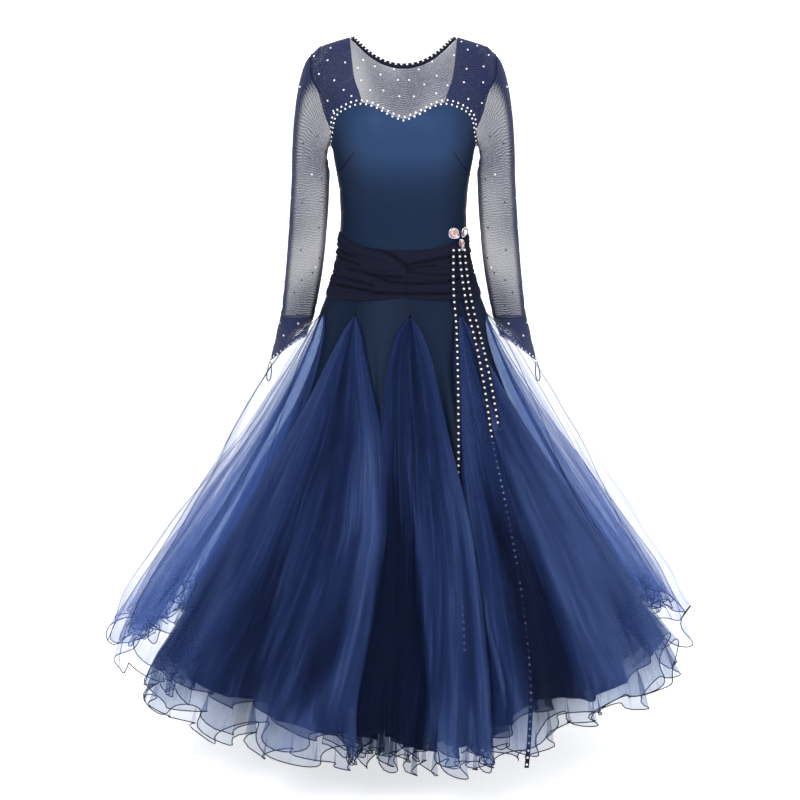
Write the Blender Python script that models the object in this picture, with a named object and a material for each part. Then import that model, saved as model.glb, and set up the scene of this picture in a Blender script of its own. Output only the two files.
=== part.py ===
"""A long-sleeved ballroom dress in its worn form: stretch satin bodice, sheer mesh yoke and
sleeves, ruched sash, and a skirt of satin gores with full organza godets between them.

Metres, +Z up, front towards -Y, +X on the brooch's side. The origin lies midway between
the two points where the neck binding crosses the shoulder seams.
Angles run round the body from the centre front towards +X, in degrees.
"""

import math

import bmesh
import bpy
import numpy as np
from mathutils import Vector
from mathutils.bvhtree import BVHTree

# ---- cloth ----
SATIN_WALL = 0.0014
MESH_WALL = 0.0012
ORGANZA_WALL = 0.0012
SASH_WALL = 0.0015
SEAM_GAP = 0.0003

# ---- body sections: the closed form that the bodice, sash and gores lie on ----
# height, half width at the side, depth in front of the axis, depth behind it, squareness
SECTIONS = (
    (-1.400, 0.610, 0.505, 0.500, 2.00),
    (-1.300, 0.575, 0.470, 0.465, 2.00),
    (-1.200, 0.535, 0.430, 0.425, 2.00),
    (-1.100, 0.470, 0.383, 0.378, 2.00),
    (-1.000, 0.405, 0.333, 0.328, 2.00),
    (-0.900, 0.343, 0.280, 0.277, 2.00),
    (-0.800, 0.284, 0.228, 0.226, 2.00),
    (-0.700, 0.230, 0.180, 0.178, 2.05),
    (-0.645, 0.204, 0.156, 0.155, 2.10),
    (-0.600, 0.186, 0.140, 0.140, 2.15),
    (-0.543, 0.168, 0.122, 0.122, 2.20),
    (-0.500, 0.151, 0.109, 0.114, 2.25),
    (-0.450, 0.136, 0.099, 0.102, 2.25),
    (-0.400, 0.1295, 0.093, 0.090, 2.25),
    (-0.350, 0.1275, 0.093, 0.083, 2.25),
    (-0.300, 0.130, 0.098, 0.083, 2.30),
    (-0.250, 0.138, 0.106, 0.088, 2.30),
    (-0.212, 0.1462, 0.112, 0.094, 2.30),
    (-0.180, 0.153, 0.114, 0.098, 2.30),
    (-0.150, 0.167, 0.113, 0.100, 2.30),
    (-0.110, 0.181, 0.113, 0.100, 2.30),
    (-0.074, 0.202, 0.113, 0.100, 2.30),
    (0.030, 0.210, 0.113, 0.100, 2.30),
)
CHEST_Z, SIDE_SEAM_HALF = -0.150, 0.1462
# cups: the front is drawn out over two soft mounds between the darts
CUP_X, CUP_Z, CUP_WIDE, CUP_TALL, CUP_OUT = 0.066, -0.200, 0.050, 0.060, 0.020
# shoulder seam: distance from the centre, height
SHOULDER = (
    (0.000, 0.012),
    (0.107, 0.000),
    (0.135, -0.008),
    (0.167, -0.018),
    (0.184, -0.034),
    (0.215, -0.075),
)
NECK_HALF, SHOULDER_HALF = 0.107, 0.184
NECK_DROP_FRONT, NECK_DROP_BACK, NECK_ROUND = 0.064, 0.058, 2.1
SHOULDER_LEAN, SHOULDER_ROUND = 0.25, 0.8

# ---- edges on the body form ----
# sweetheart edge and underarm of the bodice front: angle from centre front, height
SWEETHEART = (
    (0, -0.163),
    (7, -0.153),
    (16, -0.137),
    (25, -0.1305),
    (36, -0.137),
    (50, -0.152),
    (60, -0.170),
    (68, -0.188),
    (78, -0.206),
    (90, -0.212),
)
# top of the bodice back: angle from centre back, height
BACK_EDGE = ((0, -0.178), (50, -0.180), (68, -0.188), (78, -0.206), (90, -0.212))
STRAP_ANGLE, ARMHOLE_ANGLE = 25.0, 68.0
BODICE_HEM_Z = -0.500
# columns of a body panel: over the middle, over a strap, beside an armhole
MIDDLE_COLUMNS, STRAP_COLUMNS, SIDE_COLUMNS = 10, 4, 2
BODICE_ROWS, YOKE_ROWS = 7, 5
STEP_TOLERANCE = 0.001

# ---- sash ----
# angle from the centre, height of the top edge, height of the bottom edge
SASH_EDGES = (
    (0, -0.419, -0.511),
    (20, -0.416, -0.517),
    (50, -0.404, -0.518),
    (75, -0.388, -0.515),
    (90, -0.384, -0.513),
)
SASH_FOLDS, SASH_FOLD_HEIGHT, SASH_PINCH = 5, 0.0034, 14.0
SASH_CLEAR, SASH_SAG, SASH_BACK_DIP = 0.0009, 0.010, 0.004
# share of the folds' height that the pinch takes away, and share that is left at the side seams
SASH_PINCHED, SASH_AT_SEAM = 0.75, 0.4

# ---- skirt ----
GODETS, GODET_TURN = 10, 3.5
GODET_PITCH = 360.0 / GODETS
TIP_Z = -0.543
# one row for each godet, from the centre front towards +X: hem height, scale of its depth,
# how far it billows out beside the hand, folds, turn of the folds, and how far the gore on
# its +X side is turned at the hem
GODET_ROWS = (
    (-1.320, 0.95, 0.000, 1.3, 5.3, -7.5),
    (-1.272, 0.95, 0.000, 2.1, 4.5, 1.5),
    (-1.150, 1.00, 0.045, 2.6, 2.8, -2.0),
    (-1.205, 0.88, 0.000, 3.0, 0.4, 1.0),
    (-1.295, 1.00, 0.000, 3.3, 1.7, -3.0),
    (-1.318, 1.05, 0.000, 2.7, 2.9, 2.5),
    (-1.305, 0.95, 0.000, 3.2, 0.8, -1.0),
    (-1.225, 0.88, 0.000, 2.8, 2.0, 2.0),
    (-1.212, 0.88, 0.062, 3.0, 0.2, -1.5),
    (-1.298, 1.05, 0.000, 2.1, 4.9, 6.6),
)
GODET_START = 0.006
# down the godet: share of its length, half angle at the seams,
# half turn of its round, depth of its round, depth of its folds
GODET_SHAPE = (
    (GODET_START, 0.8, 70.0, 0.0015, 0.000),
    (0.05, 8.2, 80.0, 0.011, 0.001),
    (0.13, 12.2, 106.0, 0.024, 0.005),
    (0.35, 12.9, 128.0, 0.045, 0.019),
    (0.68, 12.7, 132.0, 0.060, 0.034),
    (0.87, 12.5, 133.0, 0.067, 0.040),
    (1.00, 12.4, 134.0, 0.072, 0.042),
)
GODET_COLUMNS = 24
# height, share of the billow beside the hand
BILLOW = (
    (-1.150, 0.00),
    (-0.980, 0.15),
    (-0.860, 0.48),
    (-0.780, 0.90),
    (-0.710, 1.00),
    (-0.650, 0.95),
    (-0.612, 0.80),
    (-0.575, 0.35),
    (-0.545, 0.00),
)
# folds fade out towards the seams of a godet: power of the place across, power of the fading
FADE_POWER, FADE_CURVE = 2.5, 1.5
RUFFLES, RUFFLE_DEPTH, RUFFLE_RISE, RUFFLE_FROM = 5.0, 0.013, 0.012, 0.68
RUFFLE_CURVE, RUFFLE_TURN = 1.6, 2.1
GORE_COLUMNS, GORE_HOLLOW, GORE_LAST_ROW, GORE_TURN_CURVE = 4, 0.014, 0.75, 1.3

# ---- sleeves ----
# down the arm: height, centre outward, centre back, half width, half depth
ARM = (
    (-0.270, 0.1872, 0.006, 0.0385, 0.043),
    (-0.350, 0.1920, 0.009, 0.0390, 0.042),
    (-0.450, 0.2010, 0.014, 0.0380, 0.040),
    (-0.520, 0.2110, 0.020, 0.0360, 0.036),
    (-0.560, 0.2185, 0.025, 0.0345, 0.033),
    (-0.600, 0.2315, 0.028, 0.0325, 0.029),
    (-0.660, 0.2450, 0.033, 0.0320, 0.028),
)
SLEEVE_COLUMNS = 2 * (YOKE_ROWS + SIDE_COLUMNS)
ARM_ROWS, HEAD_SHARES = 7, (0.0, 0.16, 0.36, 0.62)
# the way a sleeve leaves the armhole: its middle, and how far that changes round the arm
HEAD_WAY, HEAD_CHANGE = (0.62, 0.0, -0.38), (0.25, -0.22, -0.10)
# how far it reaches that way at the outside and less at the inside, and how soon it hangs
HEAD_REACH, HEAD_INSIDE, HEAD_HANG = 0.030, 0.014, 0.45
CUFF_TOP_Z, CUFF_INNER_Z, CUFF_POINT, CUFF_CURVE, CUFF_ROWS = -0.560, -0.600, 0.052, 1.3, 4
LOOP_CORD, LOOP_WIDE, LOOP_LONG = 0.0022, 0.014, 0.043
# share of a finger loop's width that it has at the top, its slant, and its facets
LOOP_TOP, LOOP_SLANT, LOOP_STEPS, LOOP_SIDES = 0.45, 0.10, 18, 6

# ---- trim ----
BINDING_WIDE, BINDING_THICK, BINDING_SLANT = 0.008, 0.003, 0.45
RIBBON_WIDE, RIBBON_THICK, RIBBON_CLEAR = 0.008, 0.0012, 0.0006
RIBBON_ROW, RIBBON_TESTS, RIBBON_FEEL = 0.032, 10, 0.15
# places over half a ribbon's width where the cloth under it is felt for
RIBBON_PROBES = (-1.1, -0.5, 0.0, 0.5, 1.1)
# each ribbon: points across and down, from the brooch
RIBBONS = {
    "ribbon_1": (
        (0.099, -0.412), (0.099, -0.500), (0.104, -0.560), (0.106, -0.650),
        (0.106, -0.760), (0.105, -0.860), (0.106, -1.000), (0.112, -1.140),
    ),
    "ribbon_2": (
        (0.110, -0.412), (0.116, -0.470), (0.128, -0.540), (0.143, -0.600),
        (0.160, -0.690), (0.172, -0.780), (0.200, -0.920), (0.222, -1.060),
        (0.232, -1.200), (0.222, -1.330),
    ),
    "ribbon_3": (
        (0.121, -0.412), (0.127, -0.470), (0.140, -0.540), (0.156, -0.600),
        (0.1745, -0.690), (0.186, -0.760),
    ),
}
# brooch: centre across, centre height, width, height
STONES = {
    "brooch_stone_left": (0.0985, -0.386, 0.021, 0.021),
    "brooch_stone_right": (0.1195, -0.384, 0.016, 0.020),
    "brooch_stone_drop": (0.1120, -0.407, 0.011, 0.018),
}
# rings of a stone: share of its width, share of its thickness
STONE_RINGS = ((0.90, 0.0), (1.0, 0.3), (0.86, 0.65), (0.5, 1.0))
# how far a stone turns from the cloth's slope to the front, and how far the cloth is felt for
STONE_DEEP, STONE_FRONT, STONE_REACH, STONE_SIDES = 0.006, 1.2, 0.05, 12
SHARP_EDGE = 40.0

COLOURS = {
    "satin": ((0.020, 0.036, 0.078), 0.42),
    "mesh": ((0.060, 0.068, 0.120), 0.75),
    "double_mesh": ((0.030, 0.036, 0.085), 0.70),
    "jersey": ((0.012, 0.014, 0.030), 0.85),
    "organza": ((0.025, 0.045, 0.150), 0.55),
    "ribbon": ((0.010, 0.012, 0.028), 0.60),
    "crystal": ((0.750, 0.720, 0.780), 0.08),
}


# ---------------------------------------------------------------- helpers

def read_table(rows, at, column):
    """The value of one column, with straight lines between the rows, which may rise or fall."""
    keys = [row[0] for row in rows]
    values = [row[column] for row in rows]
    return float(np.interp(at, keys, values))


def smooth_table(rows, at, column):
    """As read_table, with a smooth curve through the rows."""
    keys = [row[0] for row in rows]
    last = len(keys) - 1
    at = min(max(at, keys[0]), keys[last])
    i = min(max(int(np.searchsorted(keys, at)) - 1, 0), last - 1)
    before, after = max(i - 1, 0), min(i + 2, last)
    span = keys[i + 1] - keys[i]
    share = (at - keys[i]) / span
    here, there = rows[i][column], rows[i + 1][column]
    slope_here = (there - rows[before][column]) / (keys[i + 1] - keys[before]) * span
    slope_there = (rows[after][column] - here) / (keys[after] - keys[i]) * span
    square, cube = share * share, share**3
    return (
        (2 * cube - 3 * square + 1) * here
        + (cube - 2 * square + share) * slope_here
        + (3 * square - 2 * cube) * there
        + (cube - square) * slope_there
    )


def unit(vector):
    return vector / max(float(np.linalg.norm(vector)), 1e-12)


def make_material(name):
    colour, roughness = COLOURS[name]
    material = bpy.data.materials.new(name)
    material.use_nodes = True
    shader = material.node_tree.nodes["Principled BSDF"]
    shader.inputs["Base Color"].default_value = (*colour, 1.0)
    shader.inputs["Roughness"].default_value = roughness
    shader.inputs["Metallic"].default_value = 0.0
    material.diffuse_color = (*colour, 1.0)
    return material


def add_object(name, points, faces, material):
    mesh = bpy.data.meshes.new(name)
    mesh.from_pydata([tuple(point) for point in points], [], faces)
    shaped = bmesh.new()
    shaped.from_mesh(mesh)
    bmesh.ops.recalc_face_normals(shaped, faces=shaped.faces)
    if shaped.calc_volume(signed=True) < 0:
        bmesh.ops.reverse_faces(shaped, faces=shaped.faces)
    shaped.to_mesh(mesh)
    shaped.free()
    mesh.materials.append(bpy.data.materials.get(material) or make_material(material))
    mesh.shade_smooth()
    mesh.set_sharp_from_angle(angle=math.radians(SHARP_EDGE))
    piece = bpy.data.objects.new(name, mesh)
    bpy.context.scene.collection.objects.link(piece)
    return piece


def grid_normals(grid, closed):
    """Unit normals of a grid of points. Rows run down and columns run round towards +X."""
    down = np.gradient(grid, axis=0)
    if closed:
        along = (np.roll(grid, -1, axis=1) - np.roll(grid, 1, axis=1)) / 2
    else:
        along = np.gradient(grid, axis=1)
    normals = np.cross(down, along)
    lengths = np.linalg.norm(normals, axis=2, keepdims=True)
    return normals / np.maximum(lengths, 1e-12)


def add_wall(name, outer, inner, material, closed=False):
    """A sheet of cloth between two grids of points, with its four edges closed."""
    rows, columns = outer.shape[:2]
    points = np.concatenate([outer.reshape(-1, 3), inner.reshape(-1, 3)])
    shift = rows * columns

    def at(row, column, side):
        return side * shift + row * columns + column % columns

    def climb(first, second):
        """How far a diagonal goes out from the middle plane as it rises."""
        one, other = outer[first[0], first[1] % columns], outer[second[0], second[1] % columns]
        return (other[2] - one[2]) * (abs(other[0]) - abs(one[0]))

    faces = []
    across = columns if closed else columns - 1
    for row in range(rows - 1):
        for column in range(across):
            ring = [(row, column), (row, column + 1), (row + 1, column + 1), (row + 1, column)]
            if climb(ring[1], ring[3]) > climb(ring[0], ring[2]):
                ring = ring[1:] + ring[:1]
            for half in ((ring[0], ring[1], ring[2]), (ring[0], ring[2], ring[3])):
                faces.append([at(*corner, 0) for corner in half])
                faces.append([at(*corner, 1) for corner in reversed(half)])
    for column in range(across):
        for row in (0, rows - 1):
            faces.append([at(row, column, 0), at(row, column, 1),
                          at(row, column + 1, 1), at(row, column + 1, 0)])
    if not closed:
        for row in range(rows - 1):
            for column in (0, columns - 1):
                faces.append([at(row, column, 0), at(row, column, 1),
                              at(row + 1, column, 1), at(row + 1, column, 0)])
    return add_object(name, points, faces, material)


# ---------------------------------------------------------------- body form

def shoulder_height(across):
    return read_table(SHOULDER, abs(across), 1)


def body_point(angle, height):
    """A point of the body form, below the shoulder seam."""
    half_width = smooth_table(SECTIONS, height, 1)
    behind = abs(angle) > 90.0
    depth = smooth_table(SECTIONS, height, 3 if behind else 2)
    power = 2.0 / smooth_table(SECTIONS, height, 4)
    sine, cosine = math.sin(math.radians(angle)), math.cos(math.radians(angle))
    across = half_width * math.copysign(abs(sine) ** power, sine)
    out = depth * math.copysign(abs(cosine) ** power, cosine)
    if height > CHEST_Z:
        rise = (height - CHEST_Z) / (shoulder_height(across) - CHEST_Z)
        out *= math.cos(min(max(rise, 0.0), 1.0) * math.pi / 2) ** SHOULDER_ROUND
    if not behind:
        side = (abs(across) - CUP_X) / CUP_WIDE
        level = (height - CUP_Z) / CUP_TALL
        out += CUP_OUT * math.exp(-side * side - level * level) * abs(cosine)
    return np.array((across, -out, height))


def body_normal(angle, height):
    """The outward normal of the body form, from its slopes over short steps."""
    step_angle, step_height, tilt = 0.6, 0.002, 0.3
    round_body = body_point(angle + step_angle, height) - body_point(angle - step_angle, height)
    lower = min(height, shoulder_height(body_point(angle, height)[0])) - step_height
    up = body_point(angle, lower + step_height) - body_point(angle, lower - step_height)
    normal = unit(np.cross(round_body, up))
    return normal if np.dot(normal, (math.sin(math.radians(angle)),
                                     -math.cos(math.radians(angle)), tilt)) > 0 else -normal


def body_grid(angles, heights):
    """Points and normals of the body form for a grid of angles and heights."""
    points = np.zeros((*np.shape(angles), 3))
    normals = np.zeros_like(points)
    for index in np.ndindex(*np.shape(angles)):
        normals[index] = body_normal(angles[index], heights[index])
        points[index] = body_point(angles[index], heights[index])
    return points, normals


# ---------------------------------------------------------------- bodice

def edge_height(table, angle):
    return smooth_table(table, abs(angle), 1)


def panel_steps(reach):
    """Column places of a body panel: 0 to 1 over the middle, to 2 over a strap and to 3 beside
    the armhole, on both sides of the centre, out to reach."""
    half = list(np.linspace(0, 1, MIDDLE_COLUMNS // 2 + 1))
    half += list(np.linspace(1, 2, STRAP_COLUMNS + 1)[1:])
    half += list(np.linspace(2, 3, SIDE_COLUMNS + 1)[1:])
    half = [step for step in half if step <= reach]
    return [-step for step in half[:0:-1]] + half


def step_angle(step):
    """The angle of a column below the yoke, with half a seam gap left at the side seam."""
    seam = 90.0 - math.degrees(SEAM_GAP / 2 / SIDE_SEAM_HALF)
    return math.copysign(np.interp(abs(step), (0, 1, 2, 3), (0, STRAP_ANGLE, ARMHOLE_ANGLE, seam)),
                         step)


def turned(angle, behind):
    """The same place on the other half of the body, for a panel of the back."""
    return math.copysign(180.0, angle) - angle if behind else angle


def add_bodice():
    """Front with the sweetheart edge and back with a straight edge, down to the hip seam."""
    for name, table, behind in (
        ("bodice_front", SWEETHEART, False),
        ("bodice_back", BACK_EDGE, True),
    ):
        across = [step_angle(step) for step in panel_steps(3)]
        down = np.linspace(0.0, 1.0, BODICE_ROWS + 1)
        angles = np.array([[turned(angle, behind) for angle in across] for _ in down])
        heights = np.array([
            [edge_height(table, angle) * (1 - share) + BODICE_HEM_Z * share for angle in across]
            for share in down
        ])
        points, normals = body_grid(angles, heights)
        add_wall(name, points, points - normals * SATIN_WALL, "satin")


# ---------------------------------------------------------------- yoke and armholes

def neck_height(across, drop):
    return -drop * (1.0 - min(abs(across) / NECK_HALF, 1.0) ** NECK_ROUND)


def angle_at(across, height):
    """The angle of the body form's front at a place across."""
    half_width = smooth_table(SECTIONS, height, 1)
    power = smooth_table(SECTIONS, height, 4) / 2.0
    sine = math.copysign((abs(across) / half_width) ** power, across)
    return math.degrees(math.asin(min(max(sine, -1.0), 1.0)))


def yoke_column(step, table, drop):
    """Lower angle and height, then upper angle and height, of a column of the yoke."""
    low_angle = step_angle(step)
    across = math.copysign(np.interp(abs(step), (0, 1, 2), (0, NECK_HALF, SHOULDER_HALF)), step)
    inside = abs(step) < 1.0 - STEP_TOLERANCE
    top = neck_height(across, drop) if inside else shoulder_height(across)
    return low_angle, edge_height(table, low_angle) + SEAM_GAP, angle_at(across, top), top


def yoke_grid(behind):
    """Points and normals of one yoke, its rows from the bodice edge up to the neck and shoulder."""
    table, drop = (BACK_EDGE, NECK_DROP_BACK) if behind else (SWEETHEART, NECK_DROP_FRONT)
    side = 1.0 if behind else -1.0
    steps = panel_steps(2)
    points = np.zeros((YOKE_ROWS + 1, len(steps), 3))
    normals = np.zeros_like(points)
    for column, step in enumerate(steps):
        low_angle, low, high_angle, high = yoke_column(step, table, drop)
        for row in range(YOKE_ROWS + 1):
            share = row / YOKE_ROWS
            angle = turned(low_angle + (high_angle - low_angle) * share, behind)
            height = low + (high - low) * share
            points[row, column] = body_point(angle, height)
            normals[row, column] = body_normal(angle, height)
        if abs(step) > 1.0 - STEP_TOLERANCE:
            points[-1, column, 1] = side * SEAM_GAP / 2
            normals[-1, column] = shoulder_normal(step)
    return points, normals


def shoulder_normal(side):
    return unit(np.array((SHOULDER_LEAN * math.copysign(1.0, side), 0.0, 1.0)))


def add_yoke():
    for name, behind in (("yoke_front", False), ("yoke_back", True)):
        points, normals = yoke_grid(behind)
        add_wall(name, points, points - normals * MESH_WALL, "mesh")


def add_straps():
    """A second layer of mesh on the outer parts of the yoke, from the front over the shoulder."""
    front, front_normals = yoke_grid(False)
    back, back_normals = yoke_grid(True)
    out = MESH_WALL + SEAM_GAP
    wide = STRAP_COLUMNS + 1
    for name, columns in (("strap_left", slice(0, wide)), ("strap_right", slice(-wide, None))):
        points = np.concatenate([front[:-1, columns], [(front[-1, columns] + back[-1, columns]) / 2],
                                 back[-2::-1, columns]])
        normals = np.concatenate([front_normals[:-1, columns], [front_normals[-1, columns]],
                                  back_normals[-2::-1, columns]])
        points = points + normals * out
        add_wall(name, points, points - normals * MESH_WALL, "double_mesh")


def add_binding():
    """The band round the neck, on the edge of both yokes."""
    ring, into = [], []
    for behind in (False, True):
        points, normals = yoke_grid(behind)
        inside = [i for i, step in enumerate(panel_steps(2)) if abs(step) < 1.0 + STEP_TOLERANCE]
        if behind:
            inside = inside[::-1]
        for place, column in enumerate(inside[:-1]):
            climb = unit(points[-1, column] - points[-2, column])
            if place == 0:
                inward = -math.copysign(1.0, points[-1, column][0])
                climb = unit(np.array((inward, 0.0, BINDING_SLANT)))
            ring.append(points[-1, column] if place else points[-1, column] * (1, 0, 1))
            into.append((climb, normals[-1, column]))
    corners = [[], [], [], []]
    for point, (climb, normal) in zip(ring, into):
        low = point + climb * SEAM_GAP
        high = point + climb * (SEAM_GAP + BINDING_WIDE)
        middle = normal * (-MESH_WALL / 2)
        half = normal * (BINDING_THICK / 2)
        for i, corner in enumerate((low + middle + half, high + middle + half,
                                    high + middle - half, low + middle - half)):
            corners[i].append(corner)
    count = len(ring)
    points = [corner for line in corners for corner in line]
    faces = [
        [side * count + i, side * count + (i + 1) % count,
         (side + 1) % 4 * count + (i + 1) % count, (side + 1) % 4 * count + i]
        for side in range(4) for i in range(count)
    ]
    add_object("neck_binding", points, faces, "ribbon")


# ---------------------------------------------------------------- sleeves

def armhole_loop():
    """Points and outward normals of the body round the right armhole: from the shoulder down
    the front, under the arm and up the back."""
    loop = []
    for behind in (False, True):
        points, normals = yoke_grid(behind)
        table = BACK_EDGE if behind else SWEETHEART
        half = [(points[row, -1], normals[row, -1]) for row in range(YOKE_ROWS, -1, -1)]
        for step in np.linspace(2, 3, SIDE_COLUMNS + 1)[1:]:
            angle = step_angle(step)
            place = (turned(angle, behind), edge_height(table, angle) + SEAM_GAP)
            half.append((body_point(*place), body_normal(*place)))
        loop += half[:0:-1] if behind else half[:-1]
    loop[0] = (loop[0][0] * (1, 0, 1), loop[0][1])
    return loop


def arm_ring(height, columns):
    """A level ring of the right sleeve."""
    keys = sorted(ARM)
    across, back, half_width, half_depth = (smooth_table(keys, height, i) for i in (1, 2, 3, 4))
    turns = [2 * math.pi * column / columns for column in range(columns)]
    return np.array([(across + half_width * math.cos(turn), back - half_depth * math.sin(turn),
                      height) for turn in turns])


def sleeve_grid():
    """Rings of the right sleeve from the armhole to the cuff."""
    loop = armhole_loop()
    start_z = ARM[0][0]
    level = arm_ring(start_z, SLEEVE_COLUMNS)
    seam = np.array([point for point, _ in loop])
    middle = seam.mean(axis=0)
    seam_rows, rows = [], []
    for column, (point, normal) in enumerate(loop):
        turn = 2 * math.pi * column / SLEEVE_COLUMNS
        before, after = loop[column - 1][0], loop[(column + 1) % SLEEVE_COLUMNS][0]
        along = unit(after - before)
        away = unit(np.cross(along, normal))
        away = away if np.dot(away, point - middle) < 0 else -away
        seam_rows.append(point + away * SEAM_GAP)
        round_arm = np.array((math.cos(turn), math.sin(turn), math.cos(turn)))
        out = unit(np.array(HEAD_WAY) + np.array(HEAD_CHANGE) * round_arm)
        reach = HEAD_REACH - HEAD_INSIDE * (1 - math.cos(turn)) / 2
        first, last = seam_rows[-1], level[column]
        second = first + out * reach
        third = last + np.array((0.0, 0.0, abs(first[2] - start_z) * HEAD_HANG))
        line = []
        for share in HEAD_SHARES:
            rest = 1 - share
            line.append(rest**3 * first + 3 * rest**2 * share * second
                        + 3 * rest * share**2 * third + share**3 * last)
        rows.append(line)
    grid = [np.array([line[i] for line in rows]) for i in range(len(HEAD_SHARES))]
    heights = np.linspace(start_z, CUFF_TOP_Z, ARM_ROWS)
    grid += [arm_ring(height, SLEEVE_COLUMNS) for height in heights]
    seam_normals = np.array([normal for _, normal in loop])
    return np.array(grid), seam_normals


def mirrored(grid):
    return grid * np.array((-1.0, 1.0, 1.0))


def add_sleeves():
    grid, seam_normals = sleeve_grid()
    normals = grid_normals(grid, closed=True)
    centre = grid.mean(axis=1, keepdims=True)
    arm = len(HEAD_SHARES) + 1
    if np.sum(normals[arm] * (grid[arm] - centre[arm])) < 0:
        normals = -normals
    normals[0] = [unit(a + b) for a, b in zip(normals[0], seam_normals)]
    inner = grid - normals * MESH_WALL
    add_wall("sleeve_right", grid, inner, "mesh", closed=True)
    add_wall("sleeve_left", mirrored(grid), mirrored(inner), "mesh", closed=True)


def cuff_grid():
    grid = []
    for row in range(CUFF_ROWS + 1):
        ring = []
        for column in range(SLEEVE_COLUMNS):
            turn = 2 * math.pi * column / SLEEVE_COLUMNS
            low = CUFF_INNER_Z - CUFF_POINT * ((1 + math.cos(turn)) / 2) ** CUFF_CURVE
            top = CUFF_TOP_Z - SEAM_GAP
            height = top + (low - top) * row / CUFF_ROWS
            ring.append(arm_ring(height, SLEEVE_COLUMNS)[column])
        grid.append(ring)
    return np.array(grid)


def add_cuffs():
    grid = cuff_grid()
    normals = grid_normals(grid, closed=True)
    middle = CUFF_ROWS // 2
    if np.sum(normals[middle] * (grid[middle] - grid[middle].mean(axis=0))) < 0:
        normals = -normals
    inner = grid - normals * SATIN_WALL
    add_wall("cuff_right", grid, inner, "double_mesh", closed=True)
    add_wall("cuff_left", mirrored(grid), mirrored(inner), "double_mesh", closed=True)
    point = grid[-1][0] - normals[-1][0] * SATIN_WALL / 2
    for name, side in (("finger_loop_right", 1.0), ("finger_loop_left", -1.0)):
        add_finger_loop(name, point * (side, 1, 1), side)


def add_finger_loop(name, point, side):
    """A closed loop of cord that hangs from the cuff's point."""
    steps, sides, radius = LOOP_STEPS, LOOP_SIDES, LOOP_CORD / 2
    top = point[2] - SEAM_GAP - radius
    points = []
    for step in range(steps):
        turn = 2 * math.pi * step / steps
        fall = (1 - math.cos(turn)) / 2 * (LOOP_LONG - LOOP_CORD)
        opened = LOOP_TOP + (1 - LOOP_TOP) * fall / LOOP_LONG
        wide = (LOOP_WIDE - LOOP_CORD) / 2 * math.sin(turn) * opened
        centre = np.array((point[0] + side * (wide + fall * LOOP_SLANT), point[1], top - fall))
        out = unit(np.array((math.sin(turn), 0.0, math.cos(turn))))
        for corner in range(sides):
            angle = 2 * math.pi * corner / sides
            points.append(centre + radius * (out * math.cos(angle)
                                             + np.array((0, 1, 0)) * math.sin(angle)))
    faces = [
        [step * sides + corner, step * sides + (corner + 1) % sides,
         (step + 1) % steps * sides + (corner + 1) % sides, (step + 1) % steps * sides + corner]
        for step in range(steps) for corner in range(sides)
    ]
    add_object(name, points, faces, "ribbon")


# ---------------------------------------------------------------- sash

def sash_point(angle, share, behind):
    """A point of the ruched sash: share runs from the top edge to the bottom edge."""
    local = abs(angle)
    top, low = (smooth_table(SASH_EDGES, local, i) for i in (1, 2))
    if behind:
        top = SASH_EDGES[-1][1] - SASH_BACK_DIP * math.cos(math.radians(local))
        low = SASH_EDGES[-1][2]
    sag = SASH_SAG * math.sin(math.radians(2 * local)) * math.sin(math.pi * share)
    height = top + (low - top) * share - sag
    pinch = 1.0 if behind else 1.0 - SASH_PINCHED * math.exp(-((angle / SASH_PINCH) ** 2))
    gather = SASH_AT_SEAM + (1 - SASH_AT_SEAM) * min(1.0, (90.0 - local) / SASH_PINCH)
    wave = 0.5 - 0.5 * math.cos(2 * math.pi * SASH_FOLDS * share)
    place = turned(angle, behind), height
    normal = body_normal(*place)
    out = SASH_CLEAR + SASH_WALL + SASH_FOLD_HEIGHT * wave * pinch * gather
    return body_point(*place) + normal * out, normal


def add_sash():
    rows = 2 * SASH_FOLDS
    for name, behind in (("sash_front", False), ("sash_back", True)):
        outer, inner = [], []
        for row in range(rows + 1):
            line = [sash_point(step_angle(step), row / rows, behind) for step in panel_steps(3)]
            outer.append([point for point, _ in line])
            inner.append([point - normal * SASH_WALL for point, normal in line])
        add_wall(name, np.array(outer), np.array(inner), "jersey")


# ---------------------------------------------------------------- skirt

def godet_value(angle, column):
    """A column of GODET_ROWS at any angle, eased between the godets' centres."""
    place = ((angle - GODET_TURN) / GODET_PITCH) % GODETS
    here = int(place)
    ease = 0.5 - 0.5 * math.cos(math.pi * (place - here))
    return GODET_ROWS[here][column] * (1 - ease) + GODET_ROWS[(here + 1) % GODETS][column] * ease


def skirt_height(angle, share):
    return TIP_Z + (godet_value(angle, 0) - TIP_Z) * share


def skirt_frame(angle, height):
    """A point of the body form, its outward normal and its direction round the body."""
    angle = (angle + 180.0) % 360.0 - 180.0
    point = body_point(angle, height)
    normal = body_normal(angle, height)
    level = unit(normal * np.array((1.0, 1.0, 0.0)))
    return point, normal, np.array((-level[1], level[0], 0.0)), level


def gore_turn(index, share):
    return GODET_ROWS[index % GODETS][5] * share**GORE_TURN_CURVE


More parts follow.
